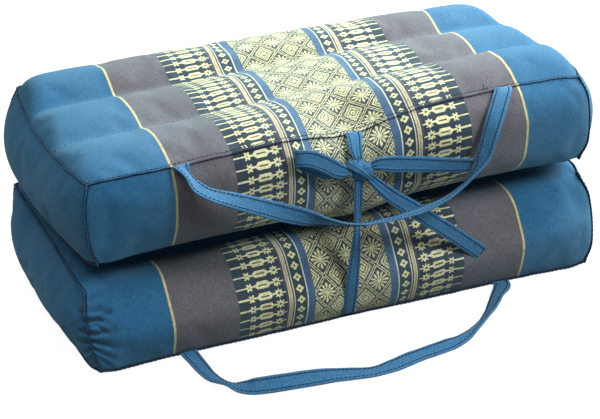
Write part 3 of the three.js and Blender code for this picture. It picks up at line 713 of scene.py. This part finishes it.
def strap_material(name, shades, sheen):
    """Plain narrow cloth: fine threads along it, and a sunken line under each row of stitches,
    dented in the bump and darkened with painted shade.
    """
    graph = Graph(bpy.data.materials.new(name))
    u, v = graph.flat_place()
    shade, deep = shades
    colour = graph.mix(graph.flat_noise(u, v, *STREAK_NOISE), deep, shade)
    colour = graph.shaded(colour, graph.slubs(u, v))
    off_line = abs(abs(u) - PRESSED_LINE)
    stitch_groove = graph.clamped(1 - off_line / PRESSED_HALF_WIDTH)
    # The groove under each row of stitches is darkened with painted shade.
    colour = graph.mix(stitch_groove * STITCH_GROOVE_SHADOW_SHARE, colour, STITCH_GROOVE_SHADOW)
    height = graph.weave(u, v, STRAP_WEAVE) * STRAP_WEAVE_RISE - stitch_groove * PRESSED_DROP
    return graph.finish(colour, height, CLOTH_BUMP, CLOTH_ROUGHNESS, sheen, STRAP_SHEEN_TINT)


def thread_material(name, shade):
    """Sewing thread, with the twist of its plies, whose crests are lighter along the twist: a
    painted highlight.
    """
    graph = Graph(bpy.data.materials.new(name))
    u, v = graph.flat_place()
    twist = graph.sine((u + v) * PLY_TURNS)
    # The plies' crests are lighter along the twist: a painted highlight over the twist in the bump.
    lighter = tuple(min(1, PLY_HIGHLIGHT * c) for c in shade)
    colour = graph.mix(twist * PLY_SHARE + 0.5, shade, lighter)
    return graph.finish(colour, twist, THREAD_BUMP, THREAD_ROUGHNESS, 0)


# ---- block shapes ----
def arch(t, power):
    return 1 - np.abs(t) ** power


def between(pair, t):
    return pair[0] + (pair[1] - pair[0]) * (t + 1) / 2


def smooth_rise(value, start, reach):
    t = np.clip((value - start) / reach, 0, 1)
    return t * t * (3 - 2 * t)


def hump(value, middle, half_width):
    return np.exp(-(((value - middle) / half_width) ** 2))


def unit(vectors):
    return vectors / np.maximum(np.linalg.norm(vectors, axis=-1, keepdims=True), 1e-9)


def arc_along(points, axis):
    """How far along the surface each point of a grid lies, from its first row."""
    steps = np.linalg.norm(np.diff(points, axis=axis), axis=-1)
    start = np.zeros_like(np.take(steps, [0], axis=axis))
    return np.concatenate([start, np.cumsum(steps, axis=axis)], axis=axis)


def wave(arc, size_and_length, phase):
    size, length = size_and_length
    return size * np.sin(arc / length + phase)


def corner_place(block, signs):
    out_x, out_y, height = block["corners"][CORNER_SIGNS.index(signs)]
    return np.array([signs[X] * (HALF_LENGTH + out_x), signs[Y] * (HALF_WIDTH + out_y), height])


def seam_point(block, along, first, second, t):
    """Points of the seam that runs along one axis, with t from -1 to 1 between its corners."""
    ends = []
    for sign in (-1, 1):
        signs = [first, second]
        signs.insert(along, sign)
        ends.append(corner_place(block, tuple(signs)))
    t = np.asarray(t, float)[..., None]
    seam = (along, first, second)
    bow = np.array(block["bows"][along][SIGNS.index((first, second))])
    skew = np.array(block["skews"].get(seam, (0, 0, 0)))
    swell = bow * arch(t, block["square_bows"].get(seam, ROUND))
    return ends[0] * (1 - t) / 2 + ends[1] * (1 + t) / 2 + swell + skew * SKEW_TO_PEAK * (t - t**3)


def channel_height(block, u, v):
    """The sewn channels: round between the stitched lines, and low at the ends."""
    place = (v + 1) / 2 * LANES
    lane = np.clip(np.floor(place), 0, LANES - 1).astype(int)
    left, right = np.array(block["channels"], float).T
    puff = between((left[lane], right[lane]), u) * arch(2 * (place - lane) - 1, CHANNEL_ROUND)
    whole = between(block["outer_arch"], u) * arch(v, ROUND)
    return (whole + puff) * arch(u, CHANNEL_END)


def crown(block, axis, sign, u, v):
    """How far a face stands out of the surface that its four seams span."""
    if axis == X:
        side = "left" if sign < 0 else "right"
        out = between(block[side + "_crown"], u) * (1 + block[side + "_lean"] * v)
        return out * arch(u, END_SIDE) * arch(v, ROUND)
    if axis == Y and sign < 0:
        low, high = block["front_round"]
        square = np.where(v < 0, low, high)
        return between(block["front_crown"], u) * arch(u, block["front_long"]) * arch(v, square)
    if axis == Y:
        return between(block["back_crown"], u) * arch(u, LONG_SIDE) * arch(v, ROUND)
    if sign == block["outer_level"]:
        return channel_height(block, u, v)
    return block["inner_crown"] * arch(u, LONG_SIDE) * arch(v, ROUND)


def drawn_in(block, point):
    """The filling's reach into the corners, the ribbon's pull on the front, the parted fronts, and
    the flat places where the block meets what it lies on."""
    for signs in CORNER_SIGNS:
        apart = np.linalg.norm(point - corner_place(block, signs), axis=-1)
        pull = CORNER_PULL * hump(apart, 0, CORNER_REACH)
        point = point - pull[..., None] * np.array(signs) / math.sqrt(3)
    in_front = smooth_rise(-point[..., Y], DENT_START, DENT_REACH)
    near = hump(point[..., X], TIE_X, DENT_HALF_WIDTH) * in_front
    point[..., Y] += block["tie_dent"] * near
    point[..., Z] -= block["tie_drop"] * near
    mouth = hump(point[..., Y], MOUTH_Y, MOUTH_HALF_WIDTH) * (point[..., Z] > MOUTH_FLOOR)
    mouth = mouth * smooth_rise(HALF_LENGTH - np.abs(point[..., X]), 0, MOUTH_FADE)
    point[..., Z] -= block["mouth_drop"] * mouth
    point[..., Z] = np.clip(point[..., Z], block["lowest"], block["highest"])
    return point


def face_points(block, axis, sign, u, v):
    """One face: the surface spanned by its four seams, plus its crown."""
    along = [a for a in (X, Y, Z) if a != axis]

    def seam(which, other_sign, t):
        signs = (sign, other_sign) if axis < along[1 - which] else (other_sign, sign)
        return seam_point(block, along[which], *signs, t)

    point = np.zeros((*u.shape, 3))
    for edge in (-1, 1):
        point += seam(0, edge, u) * ((1 + edge * v) / 2)[..., None]
        point += seam(1, edge, v) * ((1 + edge * u) / 2)[..., None]
        for corner in (-1, 1):
            weight = (1 + edge * v) * (1 + corner * u) / 4
            point -= seam(0, edge, np.full(u.shape, float(corner))) * weight[..., None]
    point[..., axis] += sign * crown(block, axis, sign, u, v)
    return drawn_in(block, point)


def flat_places(block, axis, sign, points):
    """Where each point of a face's grid lies on the flat cloth, in millimetres of the pattern."""
    if axis == X:
        return points[..., Y] + PLAIN_OFFSET, points[..., Z]
    if axis == Z and sign != block["outer_level"]:
        return points[..., X] + PLAIN_OFFSET, points[..., Y]
    depth = np.clip((points[..., Y] + HALF_WIDTH) / (2 * HALF_WIDTH), 0, 1)
    u = points[..., X] - block["pattern_centre"] + depth * block["pattern_drift"]
    arc = arc_along(points, 0)
    if axis == Y:
        arc = arc[-1:] - arc
    start, pitch = block["front_rows" if axis == Y else "outer_rows"]
    return u, (arc - start) * ROW_PITCH / pitch


def mesh_object(name, places, faces, flats, cloths, materials):
    """A smooth mesh from millimetres, with each face corner's flat place and each face's cloth."""
    mesh = bpy.data.meshes.new(name)
    mesh.from_pydata((np.asarray(places) * MM).tolist(), [], faces)
    mesh.uv_layers.new(name="flat").data.foreach_set("uv", np.array(flats, np.float32).ravel())
    for material in materials:
        mesh.materials.append(material)
    mesh.polygons.foreach_set("material_index", cloths)
    mesh.polygons.foreach_set("use_smooth", [True] * len(faces))
    return placed(name, mesh)


def placed(name, data):
    made = bpy.data.objects.new(name, data)
    bpy.context.scene.collection.objects.link(made)
    return made


def block_mesh(name, block, materials):
    """A closed mesh on a box's grid, its sewn lines in the vertex group sewn, and the number of the
    point at each place of the grid."""
    lines = [np.linspace(-1, 1, count + 1) for count in CELLS]
    index, places = {}, []
    quads, flats, cloths = [], [], []
    for axis in (X, Y, Z):
        first, second = [a for a in (X, Y, Z) if a != axis]
        u, v = np.meshgrid(lines[first], lines[second])
        for sign in (-1, 1):
            points = face_points(block, axis, sign, u, v)
            flat_u, flat_v = flat_places(block, axis, sign, points)
            ids = np.zeros(u.shape, int)
            for j, i in np.ndindex(u.shape):
                key = [0, 0, 0]
                key[axis] = CELLS[axis] if sign > 0 else 0
                key[first], key[second] = i, j
                if tuple(key) not in index:
                    index[tuple(key)] = len(places)
                    places.append(points[j, i])
                ids[j, i] = index[tuple(key)]
            turned = (axis == Y) == (sign > 0)
            plain = (axis, sign) in ((Y, 1), (Z, -1))
            for j, i in np.ndindex(u.shape[0] - 1, u.shape[1] - 1):
                ring = [(j, i), (j, i + 1), (j + 1, i + 1), (j + 1, i)]
                if turned:
                    ring.reverse()
                quads.append([ids[c] for c in ring])
                flats.extend((flat_u[c], flat_v[c]) for c in ring)
                cloths.append(STRIPED if plain else FIGURED)
    made = mesh_object(name, places, quads, flats, cloths, materials)
    held = []
    for key, number in index.items():
        on_edges = sum(k in (0, CELLS[a]) for a, k in enumerate(key))
        on_channel_line = key[Z] == outer_layer(block) and key[Y] % CELLS_PER_LANE == 0
        if on_edges > 1 or on_channel_line:
            held.append(number)
    made.vertex_groups.new(name="sewn").add(held, 1.0, "REPLACE")
    return made, index


def outer_layer(block):
    return CELLS[Z] if block["outer_level"] > 0 else 0


# ---- filling the blocks ----
def vertex_values(mesh, name):
    flat = np.zeros(len(mesh.vertices) * 3, np.float32)
    mesh.vertices.foreach_get(name, flat)
    return flat.reshape(-1, 3).astype(float)


def simulate_filling(piece):
    """Blows the cloth up between its sewn lines, and returns where its points go."""
    cloth = piece.modifiers.new("filling", "CLOTH")
    for name, value in FILLING.items():
        setattr(cloth.settings, name, value)
    cloth.settings.effector_weights.gravity = 0
    cloth.collision_settings.use_collision = False
    cloth.collision_settings.use_self_collision = False
    cloth.point_cache.frame_end = FILLING_FRAMES
    for number in range(1, FILLING_FRAMES + 1):
        bpy.context.scene.frame_set(number)
    depsgraph = bpy.context.evaluated_depsgraph_get()
    moved = vertex_values(piece.evaluated_get(depsgraph).data, "co")
    piece.modifiers.remove(cloth)
    bpy.context.scene.frame_set(1)
    return moved


def fill(piece, block, clear_of):
    """Fills the block, within a small cap, and keeps it off the strips that lie on it."""
    base = vertex_values(piece.data, "co") / MM
    normals = vertex_values(piece.data, "normal")
    moved = np.zeros_like(base)
    moved = simulate_filling(piece) / MM - base
    outward = (moved * normals).sum(1)
    along = moved - normals * outward[:, None]
    outward = FILLING_CAP * np.tanh(outward / FILLING_CAP)
    far = np.linalg.norm(along, axis=1)
    along *= (np.minimum(far, FILLING_CAP) / np.maximum(far, 1e-6))[:, None]
    gap = np.full(len(base), np.inf)
    for point in clear_of:
        gap = np.minimum(gap, np.linalg.norm(base - point, axis=1))
    free = smooth_rise(gap, STRIP_NEAR, STRIP_FADE)
    outward = np.where(outward > 0, outward * free, outward)
    places = base + along * free[:, None] + normals * outward[:, None]
    places[:, Z] = np.clip(places[:, Z], block["lowest"], block["highest"])
    piece.data.vertices.foreach_set("co", (places * MM).astype(np.float32).ravel())
    piece.data.update()


# ---- sewing ----
class Shells:
    """Collects small closed shells into one mesh."""

    def __init__(self):
        self.places, self.faces, self.flats, self.cloths = [], [], [], []

    def tube(self, rings, flats, cloths=0):
        """Rings of equal size joined one to the next, with closed ends; flats gives each ring
        point's flat place, and cloths the material slot of each side."""
        rings = np.asarray(rings, float)
        flats = np.asarray(flats, float)
        rows, size = rings.shape[:2]
        cloths = np.broadcast_to(cloths, size)
        start = len(self.places)
        self.places.extend(rings.reshape(-1, 3))
        for i in range(rows - 1):
            for k in range(size):
                after = (k + 1) % size
                self.face(start, flats, cloths[k], ((i, k), (i, after), (i + 1, after), (i + 1, k)))
        self.face(start, flats, cloths[0], [(0, k) for k in range(size - 1, -1, -1)])
        self.face(start, flats, cloths[0], [(rows - 1, k) for k in range(size)])

    def face(self, start, flats, cloth, corners):
        self.faces.append([start + row * flats.shape[1] + k for row, k in corners])
        self.flats.extend(flats[corner] for corner in corners)
        self.cloths.append(int(cloth))

    def to_object(self, name, *materials):
        return mesh_object(name, self.places, self.faces, self.flats, self.cloths, materials)


def resampled(columns, step):
    """Rows spaced evenly along a path. The first column holds its points; all are interpolated."""
    arc = arc_along(columns[0], 0)
    count = max(int(round(arc[-1] / step)), 2)
    even = np.linspace(0, arc[-1], count + 1)
    return even, *(interpolated(even, arc, column) for column in columns)


def interpolated(at, arc, column):
    if np.ndim(column) == 1:
        return np.interp(at, arc, column)
    return np.stack([np.interp(at, arc, part) for part in np.transpose(column)], 1)


def add_stitches(shells, points, outs, kind, radius=THREAD_RADIUS, dip=STITCH_DIP):
    """A row of stitches along a path, each a short thread that dips into the cloth at both ends."""
    stitch, gap = kind
    arc, points, outs = resampled((points, outs), STITCH_STEP)
    section = np.linspace(0, 2 * math.pi, STITCH_SIDES, endpoint=False)
    rise = np.array([-dip, *STITCH_RISE, -dip]) * radius
    size = np.array(STITCH_SIZE) * radius
    start = gap
    while start + stitch < arc[-1]:
        along = np.linspace(start, start + stitch, len(rise))
        middle = interpolated(along, arc, points)
        out = unit(interpolated(along, arc, outs))
        side = np.cross(unit(np.gradient(middle, axis=0)), out)
        rings, flats = [], []
        for i in range(len(rise)):
            round_it = np.outer(np.cos(section), side[i]) + np.outer(np.sin(section), out[i])
            rings.append(middle[i] + out[i] * rise[i] + size[i] * round_it)
            flats.append([(radius * turn, along[i]) for turn in section])
        shells.tube(rings, flats)
        start += stitch + gap


def seam_ids(index, along, first, second):
    """The mesh points of one seam, in order."""
    fixed = [CELLS[axis] if sign > 0 else 0
             for axis, sign in zip([a for a in (X, Y, Z) if a != along], (first, second))]
    return [index[(*fixed[:along], step, *fixed[along:])] for step in range(CELLS[along] + 1)]


def add_ridge(shells, stitches, points, outs, flat_u, flat_v, phase, thickness):
    """A pinched and topstitched seam: a low fin of doubled cloth with thread along both sides."""
    arc, points, outs, flat_u, thickness = resampled((points, outs, flat_u, thickness), RIDGE_STEP)
    outs = unit(outs)
    side = unit(np.cross(unit(np.gradient(points, axis=0)), outs))
    ear = EAR_HEIGHT * hump(np.minimum(arc, arc[-1] - arc), 0, EAR_REACH)
    height = RIDGE_HEIGHT * (1 + wave(arc, RIDGE_ROUGH, phase)) + ear
    lean = wave(arc, RIDGE_LEAN, phase) + wave(arc, RIDGE_FINE_LEAN, 2 * phase)
    half = thickness / 2
    rings, flats = [], []
    for share, level in RIDGE_SECTION:
        shift = (half + (RIDGE_SKIRT if level < 0 else 0)) * share + lean * max(level, 0)
        ring = points + side * shift[:, None] + outs * (level * height)[:, None]
        rings.append(above_floor(ring, 0))
        flats.append(np.stack([flat_u, flat_v + shift], 1))
    # The fin's sides and foot take the darker cloth: painted shadow where it meets the panel.
    shells.tube(np.stack(rings, 1), np.stack(flats, 1), RIDGE_CLOTHS)
    for turn in (-1, 1):
        shift = turn * half * RIDGE_STITCH_OUT + RIDGE_STITCH_UP * lean
        foot = points + side * shift[:, None] + outs * (RIDGE_STITCH_UP * height)[:, None]
        foot = above_floor(foot, RIDGE_STITCH_FLOOR * THREAD_RADIUS)
        radius = RIDGE_STITCH_SIZE * THREAD_RADIUS
        add_stitches(stitches, foot, side * turn + outs, SEAM_STITCH, radius, RIDGE_STITCH_DIP)


def above_floor(points, level):
    points[:, Z] = np.maximum(points[:, Z], level)
    return points


def seams_and_stitches(piece, block, index):
    """The seams' ridges, and the stitches along them and along the channel lines. The seam that is
    rolled in between the two blocks' fronts stays flat."""
    places = vertex_values(piece.data, "co") / MM
    normals = vertex_values(piece.data, "normal")
    ridges, stitches = Shells(), Shells()
    rolled_in = (X, -1, -block["outer_level"])
    start, pitch = block["front_rows"]
    flat_v = -start * ROW_PITCH / pitch
    for number, seam in enumerate(SEAMS):
        if seam == rolled_in:
            continue
        ids = seam_ids(index, *seam)
        points = places[ids]
        flat_u = points[:, X] + PLAIN_OFFSET
        thickness = np.full(len(ids), RIDGE_THICKNESS)
        if seam[0] == X:
            drift = block["pattern_drift"] if seam[1] > 0 else 0
            flat_u = points[:, X] - block["pattern_centre"] + drift
            towards_end = smooth_rise(np.abs(points[:, X]), EXTRA_END, EXTRA_FADE)
            thickness += RIDGE_EXTRA * (1 - towards_end)
        phase = RIDGE_PHASE * number
        add_ridge(ridges, stitches, points, normals[ids], flat_u, flat_v, phase, thickness)
    for lane in range(1, LANES):
        ids = [index[(i, lane * CELLS_PER_LANE, outer_layer(block))] for i in range(CELLS_LONG + 1)]
        line = places[ids] + [0, 0, CHANNEL_STITCH_LIFT * block["outer_level"]]
        add_stitches(stitches, line, normals[ids], CHANNEL_STITCH)
    if block["outer_level"] > 0:
        for end in LOOSE_THREADS:
            path = catmull(end, LOOSE_SPANS)
            facings = np.tile(LOOSE_FACING, (len(path), 1))
            add_stitches(stitches, path, facings, LOOSE_STITCH, dip=0)
    return ridges, stitches


# ---- strips ----
def catmull(points, count_each):
    """A centripetal Catmull-Rom curve through the points, with count_each steps between two."""
    points = np.asarray(points, float)
    padded = np.vstack([2 * points[0] - points[1], points, 2 * points[-1] - points[-2]])
    t = np.linspace(0, 1, count_each, endpoint=False)[:, None]
    out = []
    for i in range(len(points) - 1):
        a, b, c, d = padded[i:i + 4]
        spans = (b - a, c - b, d - c)
        first, middle, last = (max(np.linalg.norm(span) ** 0.5, 1e-4) for span in spans)
        start = ((b - a) / first - (c - a) / (first + middle) + (c - b) / middle) * middle
        end = ((c - b) / middle - (d - b) / (middle + last) + (d - c) / last) * middle
        bend = (3 * (c - b) - 2 * start - end) * t**2
        out.append(b + start * t + bend + (2 * (b - c) + start + end) * t**3)
    return np.vstack([*out, points[-1:]])


def smooth_rows(rows, numbers, each):
    """The middles and facings of a table's rows on smooth curves, and its numbers between them."""
    middle, facing = (catmull([row[k] for row in rows], each) for k in (0, 1))
    place = np.arange(len(middle)) / each
    return middle, facing, *(np.interp(place, np.arange(len(rows)), column) for column in numbers)


def framed(middle, facing):
    """Unit vectors out of a band's face and across it."""
    ahead = unit(np.gradient(middle, axis=0))
    out = unit(facing - ahead * (facing * ahead).sum(1)[:, None])
    return out, np.cross(ahead, out)


def strip_widths(rows, whole):
    return [row[2] if len(row) > 2 else whole for row in rows]


def strip_path(rows, widths, step):
    """Even stations along a strip: arc, middle, facing, the way across, and half width."""
    arc, middle, facing, wide = resampled(smooth_rows(rows, (widths,), STRIP_SPANS), step)
    return arc, middle, *framed(middle, facing), wide / 2


def strip_shapes(name, rows, widths, thickness, phase, free_end, material, thread):
    """A hemmed strap or ribbon: thicker along its folded edges, with a row of stitches on each."""
    arc, middle, out, across, half = strip_path(rows, widths, STRIP_STEP)
    shares = np.concatenate([-np.array(STRIP_STATIONS[:0:-1]), STRIP_STATIONS])
    hem = np.interp(np.abs(shares), HEM_STATIONS, HEM_THICKNESS)
    gathered = GATHER_DEPTH * (1 - half / half.max())

    def surface(share, rise):
        """Points at a share of the half width, off the middle surface by a rise, a slow sway, a
        slight bow, and folds where the strip narrows."""
        fine_sway = wave(arc, STRIP_FINE_SWAY, STRIP_FINE_PHASE * phase)
        sway = share * (wave(arc, STRIP_SWAY, phase) + fine_sway)
        bow = (share**2 - BOW_LEVEL) * wave(arc, STRIP_BOW, phase)
        folds = gathered * math.cos(GATHER_FOLDS * math.pi * share + phase)
        lift = rise + sway + bow + folds
        return middle + across * (half * share)[:, None] + out * lift[:, None]

    rings, flats = [], []
    for turn in (1, -1):
        for share, rise in zip(turn * shares, hem * thickness / 2):
            rings.append(surface(share, turn * rise))
            flat_arc = arc + (UNDERSIDE_SHIFT if turn < 0 else 0)
            flats.append(np.stack([np.full(len(arc), STRIP_FLAT_HALF * share), flat_arc], 1))
    cloth, stitches = Shells(), Shells()
    cloth.tube(np.stack(rings, 1)[:, ::-1], np.stack(flats, 1)[:, ::-1])
    end = -END_STITCH_BACK
    for turn in (1, -1):
        for share in (-STITCH_SHARE, STITCH_SHARE):
            add_stitches(stitches, surface(share, turn * thickness / 2), turn * out, STRIP_STITCH)
        if free_end:
            places = np.linspace(-STITCH_SHARE, STITCH_SHARE, END_STITCH_POINTS)
            face = turn * thickness / 2 * out[end]
            line = middle[end] + np.outer(places, across[end]) * half[end] + face
            add_stitches(stitches, line, np.tile(turn * out[end], (len(places), 1)), END_STITCH)
    return cloth.to_object(name, material), stitches.to_object(name + "_stitches", thread), arc[-1]


# ---- the knot and the hinge ----
def band_rings(rows):
    """A gathered band of ribbon, oval across, with folds that run along it."""
    sizes = ([row[2] for row in rows], [row[3] for row in rows])
    middle, facing, wide, thick = smooth_rows(rows, sizes, KNOT_SPANS)
    out, across = framed(middle, facing)
    around = np.linspace(0, 2 * math.pi, KNOT_SIDES, endpoint=False)
    side = np.sign(np.cos(around)) * np.abs(np.cos(around)) ** KNOT_SQUARE[0]
    rise = np.sign(np.sin(around)) * np.abs(np.sin(around)) ** KNOT_SQUARE[1]
    rings, flats = [], []
    for i in range(len(middle)):
        folds = (depth * np.cos(count * around + turn * i) for depth, count, turn in KNOT_FOLDS)
        fold = 1 + sum(folds)
        aside = np.outer(wide[i] / 2 * side * fold, across[i])
        over = np.outer(thick[i] / 2 * rise * fold, out[i])
        rings.append(middle[i] + (aside + over))
        flat_arc = np.full(len(around), KNOT_FLAT_STEP * i)
        flats.append(np.stack([KNOT_FLAT_HALF * np.sin(around), flat_arc], 1))
    return rings, flats


def knot_piece(material):
    """The knot: one gathered turn of the ribbon pulled aslant over a smaller lump beneath it."""
    shells = Shells()
    for rows in (KNOT_HEART, KNOT_TURN, KNOT_ROOT, KNOT_TAIL):
        shells.tube(*band_rings(rows))
    return shells.to_object("knotted_ribbon", material)


def hinge_piece(material):
    """The strip that joins the two blocks' backs, in the hollow between them."""
    path = catmull([(0, y, z) for y, z in HINGE_SECTION], HINGE_SPANS)[:, 1:]
    ahead = unit(np.gradient(path, axis=0))
    outward = np.stack([-ahead[:, 1], ahead[:, 0]], 1) * RIBBON_THICKNESS / 2
    outline = np.vstack([path + outward, (path - outward)[::-1]])
    arc = arc_along(outline, 0)
    rings, flats = [], []
    for x in np.linspace(-HINGE_HALF_LENGTH, HINGE_HALF_LENGTH, HINGE_STATIONS):
        along = np.full(len(outline), x)
        swayed = outline[:, 0] + wave(x, HINGE_SWAY, 0)
        rings.append(np.column_stack([along, swayed, outline[:, 1]]))
        flats.append(np.column_stack([along, arc]))
    shells = Shells()
    shells.tube(rings, flats)
    return shells.to_object("back_hinge_strip", material)


# ---- the room ----
def make_camera():
    """The camera stands in front, to the left and above, and looks at the cushion's long face."""
    yaw, pitch, roll = (math.radians(a) for a in (CAMERA_YAW, CAMERA_PITCH, CAMERA_ROLL))
    level_share = math.cos(pitch)
    ahead = Vector((math.sin(yaw) * level_share, math.cos(yaw) * level_share, -math.sin(pitch)))
    level = Vector((math.cos(yaw), -math.sin(yaw), 0))
    upright = level.cross(ahead)
    right = math.cos(roll) * level + math.sin(roll) * upright
    up = -math.sin(roll) * level + math.cos(roll) * upright
    camera = placed("camera", bpy.data.cameras.new("camera"))
    turn = Matrix((right, up, -ahead)).transposed()
    camera.matrix_world = Matrix.Translation(Vector(CAMERA_PLACE) * MM) @ turn.to_4x4()
    camera.data.sensor_width = CAMERA_SENSOR
    camera.data.lens = CAMERA_LENS
    camera.data.clip_start = CAMERA_NEAR
    camera.data.clip_end = CAMERA_FAR
    bpy.context.scene.camera = camera


def make_lamp(name, place, size, power):
    data = bpy.data.lights.new(name, "AREA")
    data.shape = "SQUARE"
    data.size = size
    data.energy = power
    lamp = placed(name, data)
    lamp.location = place
    lamp.rotation_mode = "QUATERNION"
    lamp.rotation_quaternion = (LAMP_TARGET - Vector(place)).to_track_quat("-Z", "Y")


def make_floor():
    """Pale paper that keeps the object's shadow, and looks white behind it."""
    graph = Graph(bpy.data.materials.new("floor_paper"))
    paper = {"Base Color": (FLOOR_SHADE,) * 3, "Roughness": FLOOR_ROUGHNESS}
    graph.feed_all(graph.shader, paper)
    glow = graph.node("ShaderNodeEmission")
    graph.feed_all(glow, {"Color": (1, 1, 1), "Strength": graph.seen() * FLOOR_GLOW})
    both = graph.node("ShaderNodeAddShader")
    graph.feed(both.inputs[0], graph.shader.outputs[0])
    graph.feed(both.inputs[1], glow.outputs[0])
    graph.feed(graph.tree.nodes["Material Output"].inputs["Surface"], both.outputs[0])
    mesh = bpy.data.meshes.new("floor")
    signs = ((-1, -1), (1, -1), (1, 1), (-1, 1))
    corners = [(FLOOR_REACH * x, FLOOR_REACH * y, 0) for x, y in signs]
    mesh.from_pydata(corners, [], [(0, 1, 2, 3)])
    mesh.materials.append(graph.owner)
    placed("floor", mesh)


def make_world():
    """A faint even light, and white wherever the backdrop itself is seen."""
    world = bpy.data.worlds.new("studio")
    bpy.context.scene.world = world
    graph = Graph(world)
    strength = graph.seen() * (1 - WORLD_LIGHT) + WORLD_LIGHT
    graph.feed_all(graph.tree.nodes["Background"], {"Color": (1, 1, 1), "Strength": strength})


# ---- the pieces, on their one body ----
def seat(pieces):
    for piece in pieces:
        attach(piece, "root")


def make_block(node, block, cloths, clear_of, seam_painted_shadow, thread):
    """One filled block, its seams' ridges and its stitches."""
    label = node.removeprefix("block_") + "_block_"
    cushion, index = block_mesh(label + "cushion", block, cloths)
    fill(cushion, block, clear_of)
    ridges, stitches = seams_and_stitches(cushion, block, index)
    smoother = cushion.modifiers.new("smoother", "SUBSURF")
    smoother.levels = smoother.render_levels = 1
    # The ridges' sides take the seams' painted shadow cloth.
    ridge = ridges.to_object(label + "seam_ridges", cloths[FIGURED], seam_painted_shadow)
    sewn = stitches.to_object(label + "stitches", thread)
    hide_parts(node)
    seat((cushion, ridge, sewn))


def make_strip(name, node, rows, tape, held, rests_on, phase, material, thread):
    """One strap or ribbon and its stitches. A free end is hemmed across too."""
    width, thickness = tape
    widths = strip_widths(rows, width)
    free_end = "tail" in name
    piece, sewn, length = strip_shapes(
        name, rows, widths, thickness, phase, free_end, material, thread
    )
    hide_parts(node)
    seat((piece, sewn))
    flat = (max(widths) * MM, length * MM)


def make_knot(material):
    knot = knot_piece(material)
    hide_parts("bow_knot")
    seat((knot,))


def make_hinge(material):
    hinge = hinge_piece(material)
    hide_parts("hinge_strip")
    seat((hinge,))


# ---- the scene ----
LOWER_BLOCK, UPPER_BLOCK, KNOT = "lower_block_cushion", "upper_block_cushion", "knotted_ribbon"
BLOCKS = (LOWER_BLOCK, UPPER_BLOCK)
HANDLE_TAPE = (STRAP_WIDTH, STRAP_THICKNESS)
RIBBON_TAPE = (RIBBON_WIDTH, RIBBON_THICKNESS)
STRIPS = {
    "upper_handle_strap": ("handle_upper", UPPER_HANDLE, HANDLE_TAPE, "hung", (UPPER_BLOCK,)),
    "lower_handle_strap": ("handle_lower", LOWER_HANDLE, HANDLE_TAPE, "laid", (LOWER_BLOCK,)),
    "upper_tie_ribbon": ("tie_upper", UPPER_RIBBON, RIBBON_TAPE, "stretched", (UPPER_BLOCK,)),
    "lower_tie_ribbon": ("tie_lower", LOWER_RIBBON, RIBBON_TAPE, "stretched", BLOCKS),
    "bow_loop_ribbon": ("bow_loop", BOW_LOOP, RIBBON_TAPE, "folded", (KNOT,)),
    "right_tail_ribbon": ("tail_right", RIGHT_TAIL, RIBBON_TAPE, "hung", (KNOT,)),
    "diagonal_tail_ribbon": ("tail_diagonal", DIAGONAL_TAIL, RIBBON_TAPE, "hung", (KNOT,)),
}

bpy.context.scene.view_settings.view_transform = "Standard"
make_camera()
make_world()
for lamp_name, lamp_row in LAMPS.items():
    make_lamp(lamp_name, *lamp_row)
make_floor()

# The seams' fins have painted shadow on their sides.
seam_painted_shadow = strap_material("seam_painted_shadow", SEAM_SHADOW_SHADES, 0)
thread = thread_material("sewing_thread", THREAD_SHADE)
strap_cloth = strap_material("strap_weave", STRAP_SHADES, STRAP_SHEEN)
upper_cloths = (
    panel_material("upper_figured_panel", UPPER, figured=True),
    panel_material("upper_striped_panel", UPPER, figured=False),
)
lower_cloths = (
    panel_material("lower_figured_panel", LOWER, figured=True, puckered=True),
    panel_material("lower_striped_panel", LOWER, figured=False),
)

near_strips = []
for _, rows, (width, _), *_ in STRIPS.values():
    near_strips.extend(strip_path(rows, strip_widths(rows, width), NEAR_STEP)[1])

make_block("block_lower", LOWER, lower_cloths, near_strips, seam_painted_shadow, thread)
make_block("block_upper", UPPER, upper_cloths, near_strips, seam_painted_shadow, thread)
for number, (name, row) in enumerate(STRIPS.items()):
    make_strip(name, *row, STRIP_PHASE * number, strap_cloth, thread)
make_knot(strap_cloth)
make_hinge(strap_cloth)
